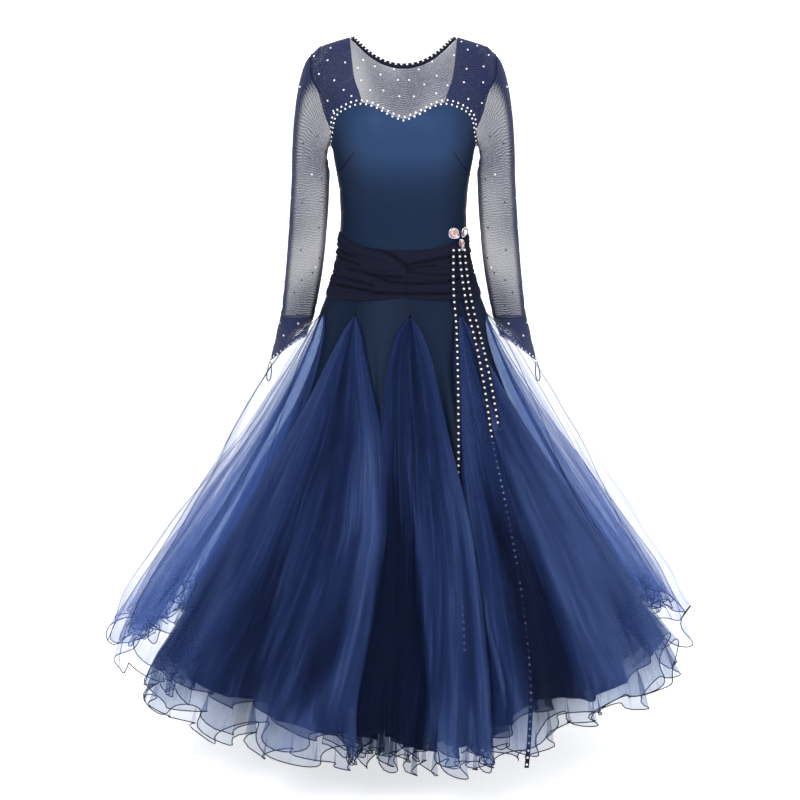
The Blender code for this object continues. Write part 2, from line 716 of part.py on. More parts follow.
def godet_point(index, across, share):
    """A point of a godet: across runs -1 to 1 between its seams, share 0 to 1 down to the hem."""
    centre = GODET_TURN + GODET_PITCH * index
    _, depth_scale, billow, folds, turn, _ = GODET_ROWS[index]
    half, round_turn, deep, fold = (smooth_table(GODET_SHAPE, share, i) for i in (1, 2, 3, 4))
    swing = math.radians(round_turn)
    place = swing * across
    side = math.sin(place) / math.sin(swing)
    angle = centre + half * side
    angle += (gore_turn(index - 1, share) * (1 - side) + gore_turn(index, share) * (1 + side)) / 2
    height = skirt_height(angle, share)
    point, _, round_body, level = skirt_frame(angle, height)
    lift = (math.cos(place) - math.cos(swing)) / (1 - math.cos(swing))
    depth = deep * depth_scale + billow * read_table(BILLOW, height, 1)
    wide = math.radians(half) * np.linalg.norm(point[:2]) / math.sin(swing)
    dome = unit(np.array((math.sin(place) / max(wide, 1e-3), math.cos(place) / max(depth, 1e-3))))
    window = (1 - abs(across) ** FADE_POWER) ** FADE_CURVE
    ripple = max(0.0, (share - RUFFLE_FROM) / (1 - RUFFLE_FROM)) ** RUFFLE_CURVE
    fold_turn = math.pi * folds * across + turn
    ruffle_turn = math.pi * RUFFLES * across + RUFFLE_TURN * turn
    wave = fold * math.sin(fold_turn) + RUFFLE_DEPTH * ripple * math.sin(ruffle_turn)
    moved = wave * dome[0] * window**2 / 2
    out = SEAM_GAP * 2 + depth * lift + wave * dome[1] * window
    rise = RUFFLE_RISE * ripple * window * math.cos(ruffle_turn)
    return point + level * out + round_body * moved + np.array((0.0, 0.0, rise))


def add_godets():
    shares = [row[0] for row in GODET_SHAPE]
    for index in range(GODETS):
        gap = 2 * SEAM_GAP
        grid = np.array([
            [godet_point(index, across, share)
             for across in np.linspace(-1, 1, GODET_COLUMNS + 1)]
            for share in shares
        ])
        inward = grid[:, [0, -1]].copy()
        grid[:, 0] += gap * row_directions(inward[:, 1] - inward[:, 0])
        grid[:, -1] -= gap * row_directions(inward[:, 1] - inward[:, 0])
        normals = grid_normals(grid, closed=False)
        centre = math.radians(GODET_TURN + GODET_PITCH * index)
        outward = np.array((math.sin(centre), -math.cos(centre), 0.0))
        middle = normals[2, GODET_COLUMNS // 2]
        if np.dot(middle, outward) < 0:
            normals = -normals
        add_wall(f"godet_{index + 1:02d}", grid, grid - normals * ORGANZA_WALL, "organza")


def row_directions(vectors):
    return vectors / np.maximum(np.linalg.norm(vectors, axis=1, keepdims=True), 1e-9)


def gore_row(index, share, height=None):
    """One row of a gore, across from godet to godet, and its inner side."""
    first = GODET_TURN + GODET_PITCH * index + gore_turn(index, share)
    half = smooth_table(GODET_SHAPE, share, 1) if share else 0.0
    outer, inner = [], []
    for step in np.linspace(0, 1, GORE_COLUMNS + 1):
        angle = first + half + (GODET_PITCH - 2 * half) * step
        level = skirt_height(angle, share) if height is None else height
        point, normal, round_body, out = skirt_frame(angle, level)
        side = {0.0: 1.0, 1.0: -1.0}.get(step, 0.0)
        hollow = GORE_HOLLOW * share * math.sin(math.pi * step)
        point = point + round_body * side * SEAM_GAP / 2 - out * hollow
        outer.append(point)
        inner.append(point - normal * SATIN_WALL)
    return outer, inner


def add_gores():
    """Satin gores between the godets, from the hip seam to just above the godets' hem."""
    shares = [0.0] + [row[0] for row in GODET_SHAPE[1:]]
    for index in range(GODETS):
        rows = [gore_row(index, 0.0, BODICE_HEM_Z - SEAM_GAP)]
        rows += [gore_row(index, share) for share in shares]
        outer, inner = (np.array([row[i] for row in rows]) for i in (0, 1))
        for side in (outer, inner):
            side[-1] = side[-2] + (side[-1] - side[-2]) * GORE_LAST_ROW
        add_wall(f"gore_{index + 1:02d}", outer, inner, "satin")


# ---------------------------------------------------------------- trim that lies on the cloth

def surface_tree(names):
    """A search tree of the front-facing cloth that trim lies on."""
    points, faces = [], []
    for piece in bpy.data.objects:
        if piece.name.startswith(names):
            start = len(points)
            points += [vertex.co.copy() for vertex in piece.data.vertices]
            faces += [[start + i for i in face.vertices] for face in piece.data.polygons]
    return BVHTree.FromPolygons(points, faces)


def front_depth(tree, across, height):
    """How far back the cloth lies at a place, over the width of a ribbon, or None below it."""
    body = body_point(angle_at(across, height), height)[1]
    hits = [
        tree.ray_cast(Vector((across + side * RIBBON_WIDE / 2, body - RIBBON_FEEL, height)),
                      Vector((0, 1, 0)), 1.5 * RIBBON_FEEL)[0]
        for side in RIBBON_PROBES
    ]
    return min((hit.y for hit in hits if hit), default=None)


def ribbon_line(tree, route):
    """The middle of a ribbon that hangs straight between its rows and rests on the cloth."""
    keys = [(-height, across) for across, height in route]
    start, end = keys[0][0], keys[-1][0]
    steps = int((end - start) / RIBBON_ROW)
    rows = np.linspace(start, end, steps + 1)
    across = [smooth_table(keys, down, 1) for down in rows]
    tests = np.linspace(start, end, steps * RIBBON_TESTS + 1)
    cloth = []
    for down in tests:
        here = front_depth(tree, np.interp(down, rows, across), -down)
        cloth.append(cloth[-1] if here is None else here)
    depth = np.array(cloth[::RIBBON_TESTS])
    for row in range(steps):
        for test in range(1, RIBBON_TESTS):
            share = test / RIBBON_TESTS
            through = depth[row] * (1 - share) + depth[row + 1] * share
            over = through - cloth[row * RIBBON_TESTS + test]
            if over > 0:
                depth[row] -= over
                depth[row + 1] -= over
    return np.array([across, depth - RIBBON_CLEAR, -rows]).T


def add_ribbons():
    """Narrow ribbons that hang from the brooch over the sash and the skirt."""
    tree = surface_tree(("sash_front", "gore_", "godet_"))
    for name, route in RIBBONS.items():
        line = ribbon_line(tree, route)
        half = np.array((RIBBON_WIDE / 2, 0.0, 0.0))
        inner = np.stack([line - half, line + half], axis=1)
        outer = inner - np.array((0.0, RIBBON_THICK, 0.0))
        add_wall(name, outer, inner, "ribbon")


def add_brooch():
    """Three faceted stones on the sash, each a domed plate with a flat back."""
    tree = surface_tree(("sash_front", "bodice_front", "ribbon_"))
    sides = STONE_SIDES
    for name, (across, height, wide, tall) in STONES.items():
        cloth = body_normal(angle_at(across, height), height)
        out = unit(cloth + np.array((0.0, -STONE_FRONT, 0.0)))
        right = unit(np.cross((0.0, 0.0, 1.0), -out))
        up = np.cross(right, -out)
        up = up if up[2] > 0 else -up
        centre = np.array((across, body_point(angle_at(across, height), height)[1], height))
        rings = [
            [(scale, deep, 2 * math.pi * corner / sides) for corner in range(sides)]
            for scale, deep in STONE_RINGS
        ]
        flat = [right * wide / 2 * scale * math.sin(turn) + up * tall / 2 * scale * math.cos(turn)
                for ring in rings for scale, _, turn in ring]
        above = []
        for place in [*flat, np.zeros(3)]:
            start = centre + place + out * STONE_REACH
            hit = tree.ray_cast(Vector(start), Vector(-out), 2 * STONE_REACH)[3]
            above.append(STONE_REACH - hit if hit is not None else -STONE_REACH)
        back = centre + out * (max(above) + SEAM_GAP)
        points = [back + place + out * STONE_DEEP * deep
                  for place, (_, deep, _) in zip(flat, [each for ring in rings for each in ring])]
        faces = [
            [level * sides + corner, level * sides + (corner + 1) % sides,
             (level + 1) * sides + (corner + 1) % sides, (level + 1) * sides + corner]
            for level in range(len(rings) - 1) for corner in range(sides)
        ]
        faces.append(list(range(sides)))
        faces.append([(len(rings) - 1) * sides + corner for corner in reversed(range(sides))])
        add_object(name, points, faces, "crystal")


def clear_scene():
    for piece in list(bpy.data.objects):
        bpy.data.objects.remove(piece, do_unlink=True)


def main():
    clear_scene()
    add_bodice()
    add_yoke()
    add_straps()
    add_binding()
    add_sleeves()
    add_cuffs()
    add_sash()
    add_gores()
    add_godets()
    add_ribbons()
    add_brooch()


main()
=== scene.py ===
"""A long-sleeved ballroom dress in its worn form: satin bodice and gores, sheer yoke and sleeves,
ruched sash, layered organza godets with corded hems, ribbons, small stones and a brooch.

Metres, +Z up, front towards -Y. Angles run round the body from the centre front towards +X,
in degrees. Every sheet of cloth is a grid of points: rows run down it and columns across it.
"""

import math

import bpy
import numpy as np
from bpy.props import FloatProperty, FloatVectorProperty, PointerProperty
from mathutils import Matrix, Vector
from mathutils.bvhtree import BVHTree


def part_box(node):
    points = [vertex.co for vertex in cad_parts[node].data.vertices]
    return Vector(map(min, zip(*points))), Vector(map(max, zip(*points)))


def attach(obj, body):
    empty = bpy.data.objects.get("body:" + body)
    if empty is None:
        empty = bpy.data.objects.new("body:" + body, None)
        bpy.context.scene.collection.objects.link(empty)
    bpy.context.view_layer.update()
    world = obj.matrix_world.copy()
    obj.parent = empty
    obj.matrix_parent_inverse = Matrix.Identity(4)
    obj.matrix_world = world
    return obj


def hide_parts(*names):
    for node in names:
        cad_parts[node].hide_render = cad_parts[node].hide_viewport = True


bl_info = {
    "name": "Ballroom dress",
    "version": (1, 0, 0),
    "blender": (4, 5, 0),
    "location": "3D Viewport > Sidebar > Dress",
    "description": "Makes the cloth, trim and stones of a ballroom dress on its packed solids",
    "category": "Object",
}

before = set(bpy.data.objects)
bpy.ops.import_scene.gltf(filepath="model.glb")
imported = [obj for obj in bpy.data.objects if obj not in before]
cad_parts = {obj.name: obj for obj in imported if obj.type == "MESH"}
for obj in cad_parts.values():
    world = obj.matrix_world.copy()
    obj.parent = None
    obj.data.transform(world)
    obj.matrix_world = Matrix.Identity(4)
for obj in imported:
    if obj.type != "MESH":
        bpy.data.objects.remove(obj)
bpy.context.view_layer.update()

# ---- body form ----
# height, half width at the side, depth in front of the axis, depth behind it, squareness
SECTIONS = (
    (-1.400, 0.610, 0.505, 0.500, 2.00),
    (-1.300, 0.575, 0.470, 0.465, 2.00),
    (-1.200, 0.535, 0.430, 0.425, 2.00),
    (-1.100, 0.470, 0.383, 0.378, 2.00),
    (-1.000, 0.405, 0.333, 0.328, 2.00),
    (-0.900, 0.343, 0.280, 0.277, 2.00),
    (-0.800, 0.284, 0.228, 0.226, 2.00),
    (-0.700, 0.230, 0.180, 0.178, 2.05),
    (-0.645, 0.204, 0.156, 0.155, 2.10),
    (-0.600, 0.186, 0.140, 0.140, 2.15),
    (-0.543, 0.168, 0.122, 0.122, 2.20),
    (-0.500, 0.151, 0.109, 0.114, 2.25),
    (-0.450, 0.136, 0.099, 0.102, 2.25),
    (-0.400, 0.1295, 0.093, 0.090, 2.25),
    (-0.350, 0.1275, 0.093, 0.083, 2.25),
    (-0.300, 0.130, 0.098, 0.083, 2.30),
    (-0.250, 0.138, 0.106, 0.088, 2.30),
    (-0.212, 0.1462, 0.112, 0.094, 2.30),
    (-0.180, 0.153, 0.114, 0.098, 2.30),
    (-0.150, 0.167, 0.113, 0.100, 2.30),
    (-0.110, 0.181, 0.113, 0.100, 2.30),
    (-0.074, 0.202, 0.113, 0.100, 2.30),
    (0.030, 0.210, 0.113, 0.100, 2.30),
)
CHEST_Z, SIDE_SEAM_HALF = -0.150, 0.1462
CUP_X, CUP_Z, CUP_WIDE, CUP_TALL, CUP_OUT = 0.066, -0.200, 0.050, 0.060, 0.020
# shoulder seam: distance from the centre, height
SHOULDER = (
    (0.000, 0.012),
    (0.107, 0.000),
    (0.135, -0.008),
    (0.167, -0.018),
    (0.184, -0.034),
    (0.215, -0.075),
)
NECK_HALF, SHOULDER_HALF = 0.107, 0.184
NECK_DROP_FRONT, NECK_DROP_BACK, NECK_ROUND = 0.064, 0.058, 2.1
SHOULDER_LEAN, SHOULDER_ROUND = 0.25, 0.8
SEAM_GAP = 0.0003
# steps round and up the body form over which its directions are measured
TURN_STEP, RISE_STEP = 0.6, 0.002
# sweetheart edge of the front and top of the back: angle from the centre, height
SWEETHEART = (
    (0, -0.163),
    (7, -0.153),
    (16, -0.137),
    (25, -0.1305),
    (36, -0.137),
    (50, -0.152),
    (60, -0.170),
    (68, -0.188),
    (78, -0.206),
    (90, -0.212),
)
BACK_EDGE = ((0, -0.178), (50, -0.180), (68, -0.188), (78, -0.206), (90, -0.212))
STRAP_ANGLE, ARMHOLE_ANGLE = 25.0, 68.0
BODICE_HEM_Z = -0.500
STRAP_OUT = 0.0015
# where the satin is stretched and painted lighter, a painted highlight over the bust: height, half
# height, how much in front, how much behind
STRETCHED_AND_LIT = ((-0.195, 0.075, 0.80, 0.20), (-0.350, 0.060, 0.04, 0.04))
# rows and columns of points in the sheets
BODICE_ROWS, BODICE_COLUMNS = 91, 121
YOKE_ROWS, YOKE_COLUMNS = 40, 61
STRAP_ROWS, STRAP_COLUMNS = 24, 25
NECK_COLUMNS = 81
SASH_ROWS, SASH_COLUMNS = 81, 181
SLEEVE_TOP_ROWS, SLEEVE_ROWS, CUFF_ROWS = 19, 57, 25
GORE_ROWS, GORE_COLUMNS = 60, 13
GODET_COLUMNS = 129
# share of its length at each row of an organza layer: the rows are closest at the tip and the hem
LAYER_SHARES = np.concatenate([np.linspace(0.0, 0.16, 9)[:-1], np.linspace(0.16, 0.78, 19)[:-1],
                               np.linspace(0.78, 1.0, 25)])

# ---- creases of the bodice: from across and height, to across and height, width, depth ----
DARTS = (
    (0.136, -0.272, 0.098, -0.227, 0.0028, 0.0022),
    (0.111, -0.250, 0.093, -0.281, 0.0040, 0.0014),
)
# the seam down the first of them: points, distance out, thickness
DART_STEPS, DART_OUT, DART_CORD = 24, 0.0002, 0.0011
PULLS = (
    (-0.120, -0.352, -0.085, -0.372, 0.0090, 0.0012),
    (0.124, -0.345, 0.092, -0.358, 0.0080, 0.0010),
    (-0.128, -0.300, -0.106, -0.322, 0.0070, 0.0010),
    (0.030, -0.388, 0.074, -0.398, 0.0080, 0.0008),
    (-0.052, -0.392, -0.012, -0.402, 0.0080, 0.0009),
    (-0.146, -0.222, -0.126, -0.246, 0.0060, 0.0016),
    (0.147, -0.220, 0.127, -0.241, 0.0060, 0.0015),
)

# ---- sash ----
# angle from the centre, height of the top edge, height of the bottom edge
SASH_EDGES = (
    (0, -0.419, -0.511),
    (20, -0.416, -0.517),
    (50, -0.404, -0.518),
    (75, -0.388, -0.515),
    (90, -0.384, -0.513),
)
SASH_FOLDS, SASH_FOLD_HEIGHT, SASH_PINCH = 5, 0.0034, 14.0
SASH_CLEAR, SASH_WALL, SASH_SAG, SASH_BACK_DIP = 0.0009, 0.0015, 0.010, 0.004
SASH_STATIONS = (-90.0, -55.0, -22.0, 0.0, 22.0, 55.0, 90.0)
RUCH_SHARE_FRONT = 0.55
# ruching of the sash: share of its height at each station, half width, depth
RUCHES = (
    (0.05, 0.10, 0.17, 0.28, 0.22, 0.15, 0.09, 0.022, 0.0030),
    (0.15, 0.19, 0.25, 0.33, 0.28, 0.22, 0.16, 0.016, 0.0018),
    (0.23, 0.30, 0.37, 0.40, 0.36, 0.30, 0.25, 0.024, 0.0034),
    (0.34, 0.38, 0.47, 0.50, 0.47, 0.42, 0.37, 0.016, 0.0020),
    (0.43, 0.50, 0.58, 0.58, 0.55, 0.52, 0.47, 0.024, 0.0036),
    (0.54, 0.60, 0.66, 0.66, 0.64, 0.61, 0.57, 0.015, 0.0018),
    (0.64, 0.69, 0.74, 0.73, 0.72, 0.70, 0.67, 0.022, 0.0030),
    (0.76, 0.79, 0.85, 0.82, 0.82, 0.80, 0.77, 0.020, 0.0030),
    (0.87, 0.90, 0.93, 0.90, 0.92, 0.91, 0.88, 0.016, 0.0020),
)

# sharp creases in the front of the sash: places across and up, half width, depth
SASH_CREASES = (
    (((-0.078, -0.411), (-0.054, -0.415), (-0.023, -0.428), (0.001, -0.445)), 0.0032, 0.0032),
    (((0.001, -0.444), (0.012, -0.458)), 0.0030, 0.0034),
    (((0.007, -0.440), (0.007, -0.515)), 0.0016, 0.0016),
    (((0.012, -0.446), (0.047, -0.439), (0.090, -0.432)), 0.0028, 0.0028),
    (((-0.106, -0.456), (-0.064, -0.466), (-0.031, -0.470), (-0.003, -0.471)), 0.0026, 0.0028),
    (((0.015, -0.456), (0.036, -0.450), (0.062, -0.449)), 0.0024, 0.0022),
    (((0.009, -0.462), (0.088, -0.469)), 0.0024, 0.0022),
    (((-0.064, -0.466), (-0.029, -0.480), (0.003, -0.484), (0.088, -0.483)), 0.0028, 0.0030),
    (((-0.144, -0.488), (-0.104, -0.492), (-0.053, -0.502), (0.005, -0.503), (0.088, -0.505)),
     0.0030, 0.0030),
    (((-0.140, -0.430), (-0.118, -0.437), (-0.086, -0.447)), 0.0030, 0.0030),
    (((-0.138, -0.412), (-0.117, -0.424), (-0.090, -0.432)), 0.0028, 0.0028),
    (((-0.148, -0.470), (-0.110, -0.476), (-0.060, -0.489)), 0.0026, 0.0024),
    (((0.150, -0.468), (0.120, -0.474), (0.090, -0.478)), 0.0030, 0.0026),
    (((0.142, -0.425), (0.118, -0.436), (0.092, -0.443)), 0.0030, 0.0028),
)

# ---- skirt ----
GODETS, GODET_TURN = 10, 3.5
GODET_PITCH = 360.0 / GODETS
TIP_Z, GODET_START = -0.543, 0.006
# hem height, scale of depth, billow beside the hand, folds, turn of the folds, turn of the
# gore, how far the layers end above one another, share of the hem's waves
GODET_ROWS = (
    (-1.320, 0.95, 0.000, 1.3, 5.3, -7.5, 0.65, 1.00),
    (-1.272, 0.95, 0.000, 2.1, 4.5, 1.5, 0.90, 0.72),
    (-1.150, 1.00, 0.045, 2.6, 2.8, -2.0, 3.40, 0.58),
    (-1.205, 0.88, 0.000, 3.0, 0.4, 1.0, 1.55, 0.55),
    (-1.295, 1.00, 0.000, 3.3, 1.7, -3.0, 1.10, 0.85),
    (-1.318, 1.05, 0.000, 2.7, 2.9, 2.5, 0.95, 1.00),
    (-1.305, 0.95, 0.000, 3.2, 0.8, -1.0, 1.20, 0.85),
    (-1.225, 0.88, 0.000, 2.8, 2.0, 2.0, 1.60, 0.55),
    (-1.212, 0.88, 0.062, 3.0, 0.2, -1.5, 3.20, 0.58),
    (-1.298, 1.05, 0.000, 2.1, 4.9, 6.6, 1.10, 0.72),
)
# share of the length, half angle, half turn of the round, depth of the round, depth of folds
GODET_SHAPE = (
    (GODET_START, 0.8, 70.0, 0.0015, 0.000),
    (0.05, 8.2, 80.0, 0.011, 0.001),
    (0.13, 12.2, 106.0, 0.024, 0.005),
    (0.35, 12.9, 128.0, 0.045, 0.019),
    (0.68, 12.7, 132.0, 0.060, 0.034),
    (0.87, 12.5, 133.0, 0.067, 0.040),
    (1.00, 12.4, 134.0, 0.072, 0.042),
)
BILLOW = (
    (-1.150, 0.00),
    (-0.980, 0.15),
    (-0.860, 0.48),
    (-0.780, 0.90),
    (-0.710, 1.00),
    (-0.650, 0.95),
    (-0.612, 0.80),
    (-0.575, 0.35),
    (-0.545, 0.00),
)
# the last: how much lighter each gore is painted down its middle, with painted shade at its edges
# beside the godets
GORE_HOLLOW, GORE_LAST, GORE_PAINTED_LIGHT = 0.014, 0.97, 0.13
# organza layers of a godet: share of its length, set out, scale of the round, share of the
# billow, scale of the round at the sides of the skirt, turn of the hem's waves, waves across,
# depth of the waves, rise of the waves
LAYERS = {
    "lining": (0.930, -0.018, 0.80, 0.00, 0.06, 1.1, 9.0, 0.015, 0.012),
    "inner": (0.955, -0.009, 0.88, 0.03, 0.14, 2.9, 11.0, 0.018, 0.016),
    "middle": (0.972, 0.003, 0.96, 0.12, 0.28, 5.2, 9.4, 0.021, 0.019),
    "upper": (0.987, 0.007, 1.00, 0.55, 0.62, 0.7, 11.6, 0.023, 0.021),
    "outer": (1.000, 0.010, 1.01, 1.00, 1.00, 3.6, 10.2, 0.025, 0.022),
}
# more sheer organza for the layers of the godets at the sides, its colour painted lighter as if
# lit through from behind
SIDE_FINISHES = {"lining": "organza_dense", "inner": "organza_pale", "middle": "organza_pale",
                 "upper": "organza_veil", "outer": "organza_veil"}
# at those godets: how much sooner the cloth thins, and how far the hem is drawn in
SIDE_THIN, SIDE_DRAWN = 0.06, 0.026
# seams down the outer layer of the godets at the sides, as places across
SIDE_SEAMS = (-0.46, 0.10, 0.58)
SIDE_GODETS = (3, 4, 8, 9)
HEM_FROM = 0.80
# how far the corners of a hem hang down, and their half width
HEM_TIP, HEM_TIP_WIDE = 0.022, 0.07
# where the godets in front and behind start to be held in, and how far past it they may reach
FRONT_LIMIT, BACK_LIMIT = (-0.520, 0.052), (0.530, 0.075)
# painted shade: how much darker the lower part of a godet is painted, standing in for the shade
# where many layers lie together
LOW_SHADE = 0.30
# painted light: how much lighter the cloth is painted towards the sides of the skirt, standing in
# for light through its fewer layers there
SIDE_LIGHT = 0.20
# how much the painted highlight along a ridge, with the painted shade beside it, stands out
CREASE_HIGHLIGHT = 0.22
# painted light and shade of the organza: its mean, the height of a crease and of a wrinkle that
# paints it lighter by one, and how much the folds, the ruffles and the hem paint it lighter
TONE_MEAN, CREASE_TONE, WRINKLE_TONE = 0.40, 0.046, 0.030
FOLD_TONE, RUFFLE_TONE, HEM_TONE = 0.20, 0.30, 0.12
# where the cloth starts to lie sideways, where its lower part starts, and over how far: they place
# the painted light at the sides and the painted shade low down
SIDEWAYS_FROM, SIDEWAYS_SPAN, LOW_FROM, LOW_SPAN = 0.40, 0.30, 0.35, 0.45
# painted shade at a godet's seams beside the gores, and over what share across it clears
EDGE_SHADE, EDGE_SPAN = 0.25, 0.30
# how far the folds of neighbouring godets close over the gore between them: share, degrees,
# and degrees over the gore at the centre front
CLOSING = ((0.00, 0.0, 0.0), (0.10, 0.0, 0.0), (0.22, 0.0, 2.0), (0.30, 0.4, 3.2),
           (0.42, 1.0, 2.4), (0.70, 1.3, 1.5), (1.00, 1.2, 1.2))
# how far the fold over a gore swings towards +X: gore, then degrees at each share
SWING_SHARES = (0.10, 0.30, 0.50, 0.70, 0.90, 1.00)
SWINGS = {
    10: (0.3, 4.2, 4.6, 2.0, -1.6, -2.4),
    1: (0.0, 0.5, 1.0, 0.8, 1.0, 1.2),
    2: (0.0, -0.6, -1.0, 0.4, 1.0, 0.0),
    9: (0.0, 0.8, 1.4, 0.6, -0.6, 0.4),
    5: (0.2, 2.6, 3.0, 1.6, -1.0, -1.6),
    6: (0.0, -1.6, -2.2, -0.6, 1.2, 1.8),
}
# height below which the organza falls over a ribbon, and how far in front each layer is
HIDDEN_BELOW = {"ribbon_1": -0.862, "ribbon_2": -0.790}
RIBBON_GAPS = {"middle": 0.0025, "upper": 0.0050, "outer": 0.0075}
# step down a ribbon, and how near in height the rows lie that give its middle
RIBBON_STEP, RIBBON_NEAR = 0.004, 0.034
# creases of a godet: place across at the tip and at the hem, share where it starts, width,
# height (below 0 it is a trough), lean (above 0 its steep side faces -X)
FRONT_CREASES = {
    10: (
        (-0.62, -0.60, 0.22, 0.10, 0.012, -0.6),
        (-0.36, -0.40, 0.30, 0.06, -0.014, 0.0),
        (-0.165, 0.13, 0.22, 0.15, 0.019, 0.8),
        (0.16, 0.30, 0.30, 0.08, -0.012, 0.3),
        (1.00, 0.20, 0.50, 0.035, 0.011, 0.5),
        (0.30, 0.60, 0.10, 0.10, 0.012, -0.4),
        (0.62, 0.76, 0.40, 0.05, -0.008, 0.0),
    ),
    1: (
        (-0.70, -0.62, 0.30, 0.09, 0.010, -0.5),
        (-0.46, -0.36, 0.18, 0.14, -0.018, 0.0),
        (-0.30, 0.15, 0.20, 0.24, 0.021, 0.9),
        (-0.16, -0.20, 0.50, 0.04, 0.009, 0.6),
        (0.32, 0.36, 0.26, 0.05, -0.010, 0.2),
        (0.46, 0.52, 0.14, 0.10, 0.012, -0.5),
        (0.70, 0.78, 0.36, 0.05, -0.007, 0.0),
    ),
    2: (
        (-0.75, -0.34, 0.34, 0.05, 0.013, 0.7),
        (-0.30, -0.18, 0.16, 0.10, -0.018, 0.0),
        (-0.06, 0.05, 0.10, 0.16, 0.020, 0.8),
        (0.28, 0.24, 0.40, 0.05, -0.010, 0.0),
        (0.80, 0.20, 0.18, 0.04, -0.009, 0.4),
        (0.50, 0.44, 0.22, 0.09, 0.013, -0.6),
        (0.72, 0.70, 0.44, 0.06, -0.010, 0.0),
    ),
    9: (
        (-0.66, -0.84, 0.34, 0.06, -0.010, 0.0),
        (-0.48, -0.58, 0.20, 0.10, 0.013, 0.6),
        (-0.24, -0.30, 0.30, 0.07, -0.013, 0.0),
        (-0.10, 0.02, 0.14, 0.12, 0.014, 0.7),
        (0.20, 0.26, 0.42, 0.06, -0.012, 0.0),
        (0.36, 0.52, 0.24, 0.09, 0.013, -0.7),
        (0.64, 0.74, 0.50, 0.05, 0.008, 0.3),
    ),
}
# other godets take the creases of one in front, mirrored where the sign is -1
CREASES_LIKE = {3: (9, -1), 4: (2, -1), 5: (1, 1), 6: (10, -1), 7: (2, 1), 8: (10, 1)}
# how far a crease leans, how wide it is on the first layer and how much wider on each next one,
# its least width, how much later it starts on each layer, over what share it grows
CREASE_LEAN, CREASE_FIRST, CREASE_SPREAD = 0.85, 0.85, 0.12
CREASE_LEAST, CREASE_LATER, CREASE_RUN = 0.024, 0.04, 0.30
# the painted highlight on a ridge: its width, distance to the painted shade beside it, the shade's
# width, depth
LINE_WIDE, SHADE_AWAY, SHADE_WIDE, SHADE_DEEP = 0.017, 0.045, 0.030, 0.8
# waves in an organza layer: size, waves across, turn with the folds, turn with the hem, waves down
WRINKLES = ((0.0026, 21, 5, 1, 5), (0.0017, 47, -3, 1, -9))
WANDERS = ((0.060, 3.1, 1, 1, 0), (0.035, 7.7, 2.3, -1, 0))
SWELLS = ((0.26, 4.3, 1.7, 1, 0), (0.16, 9.1, -1, 0, 0))
HEM_RISES = ((0.013, 2.6, 1, -1, 0), (0.008, 13.7, 2, 1, 0))
CRUMPLE, SWELL_MEAN = 0.0030, 0.62
# number of the gore at the centre front, from 0
FRONT_GORE = 9

# ---- sleeves ----
# height, centre outward, centre back, half width, half depth
ARM = (
    (-0.270, 0.1872, 0.006, 0.0385, 0.043),
    (-0.350, 0.1920, 0.009, 0.0390, 0.042),
    (-0.450, 0.2010, 0.014, 0.0380, 0.040),
    (-0.520, 0.2110, 0.020, 0.0360, 0.036),
    (-0.560, 0.2185, 0.025, 0.0345, 0.033),
    (-0.600, 0.2315, 0.028, 0.0325, 0.029),
    (-0.660, 0.2450, 0.033, 0.0320, 0.028),
)
CUFF_TOP_Z, CUFF_INNER_Z, CUFF_POINT = -0.560, -0.600, 0.052
# creases of a sleeve: height, turn round the arm, slope, half height, half turn, depth
ARM_CREASES = (
    (-0.236, 200, 0.10, 0.006, 50, 0.0030),
    (-0.252, 170, -0.14, 0.005, 45, 0.0024),
    (-0.372, 60, 0.12, 0.006, 60, 0.0018),
    (-0.392, 250, -0.10, 0.007, 55, 0.0022),
    (-0.468, 100, 0.16, 0.006, 50, 0.0018),
    (-0.497, 300, -0.14, 0.006, 60, 0.0020),
    (-0.531, 60, 0.20, 0.006, 70, 0.0024),
    (-0.548, 230, -0.18, 0.005, 60, 0.0022),
)
YOKE_STEPS, SIDE_STEPS = 20, 8
ARMHOLE_CORD = 0.0026
ARM_COLUMNS = 2 * (YOKE_STEPS + SIDE_STEPS)
ARM_TURNS = 2 * np.pi * np.arange(ARM_COLUMNS) / ARM_COLUMNS
BINDING_WIDE, BINDING_THICK, BINDING_TURN = 0.0105, 0.003, 0.7
LOOP_WIDE, LOOP_LONG = 0.014, 0.043
# how much denser the mesh is at the yokes and the cuffs
YOKE_THICK, CUFF_THICK = -0.03, 0.02
# denser mesh of a sleeve: where it starts, over how far it grows, how much denser it gets
SHOULDER_DENSE, WRIST_DENSE = (-0.120, 0.080, 0.36), (0.450, 0.110, 0.12)
OUTSIDE_DENSE, INSIDE_DENSE = (0.66, 0.28, 0.38), (0.66, 0.30, 0.32)

# ---- stage ----
FLOOR_Z = -1.420
PAPER_HALF, PAPER_NEAR, PAPER_TOP, PAPER_GLOW = 7.0, -6.0, (3.4, 4.5), 0.62
SWEEP_START, SWEEP_RADIUS, SWEEP_STEPS = 2.2, 1.2, 24
SKY_LIGHT = 0.42
# lamps: place, aim, width, power
LAMPS = {
    "key": ((-1.0, -3.5, 1.9), (0.0, 0.0, -0.40), 1.8, 118.0),
    "fill": ((2.6, -2.8, 0.6), (0.0, 0.0, -0.6), 2.2, 44.0),
    "top": ((0.0, -0.6, 2.6), (0.0, 0.0, -0.6), 2.0, 40.0),
}
CAMERA_PLACE, CAMERA_TILT = (-0.007, -3.5, -0.238), 82.0
CAMERA_LENS, CAMERA_SENSOR = 77.4, 36.0
# how many sheets of sheer cloth the light is followed through
CLEAR_SHEETS = 40


# ---------------------------------------------------------------- settings

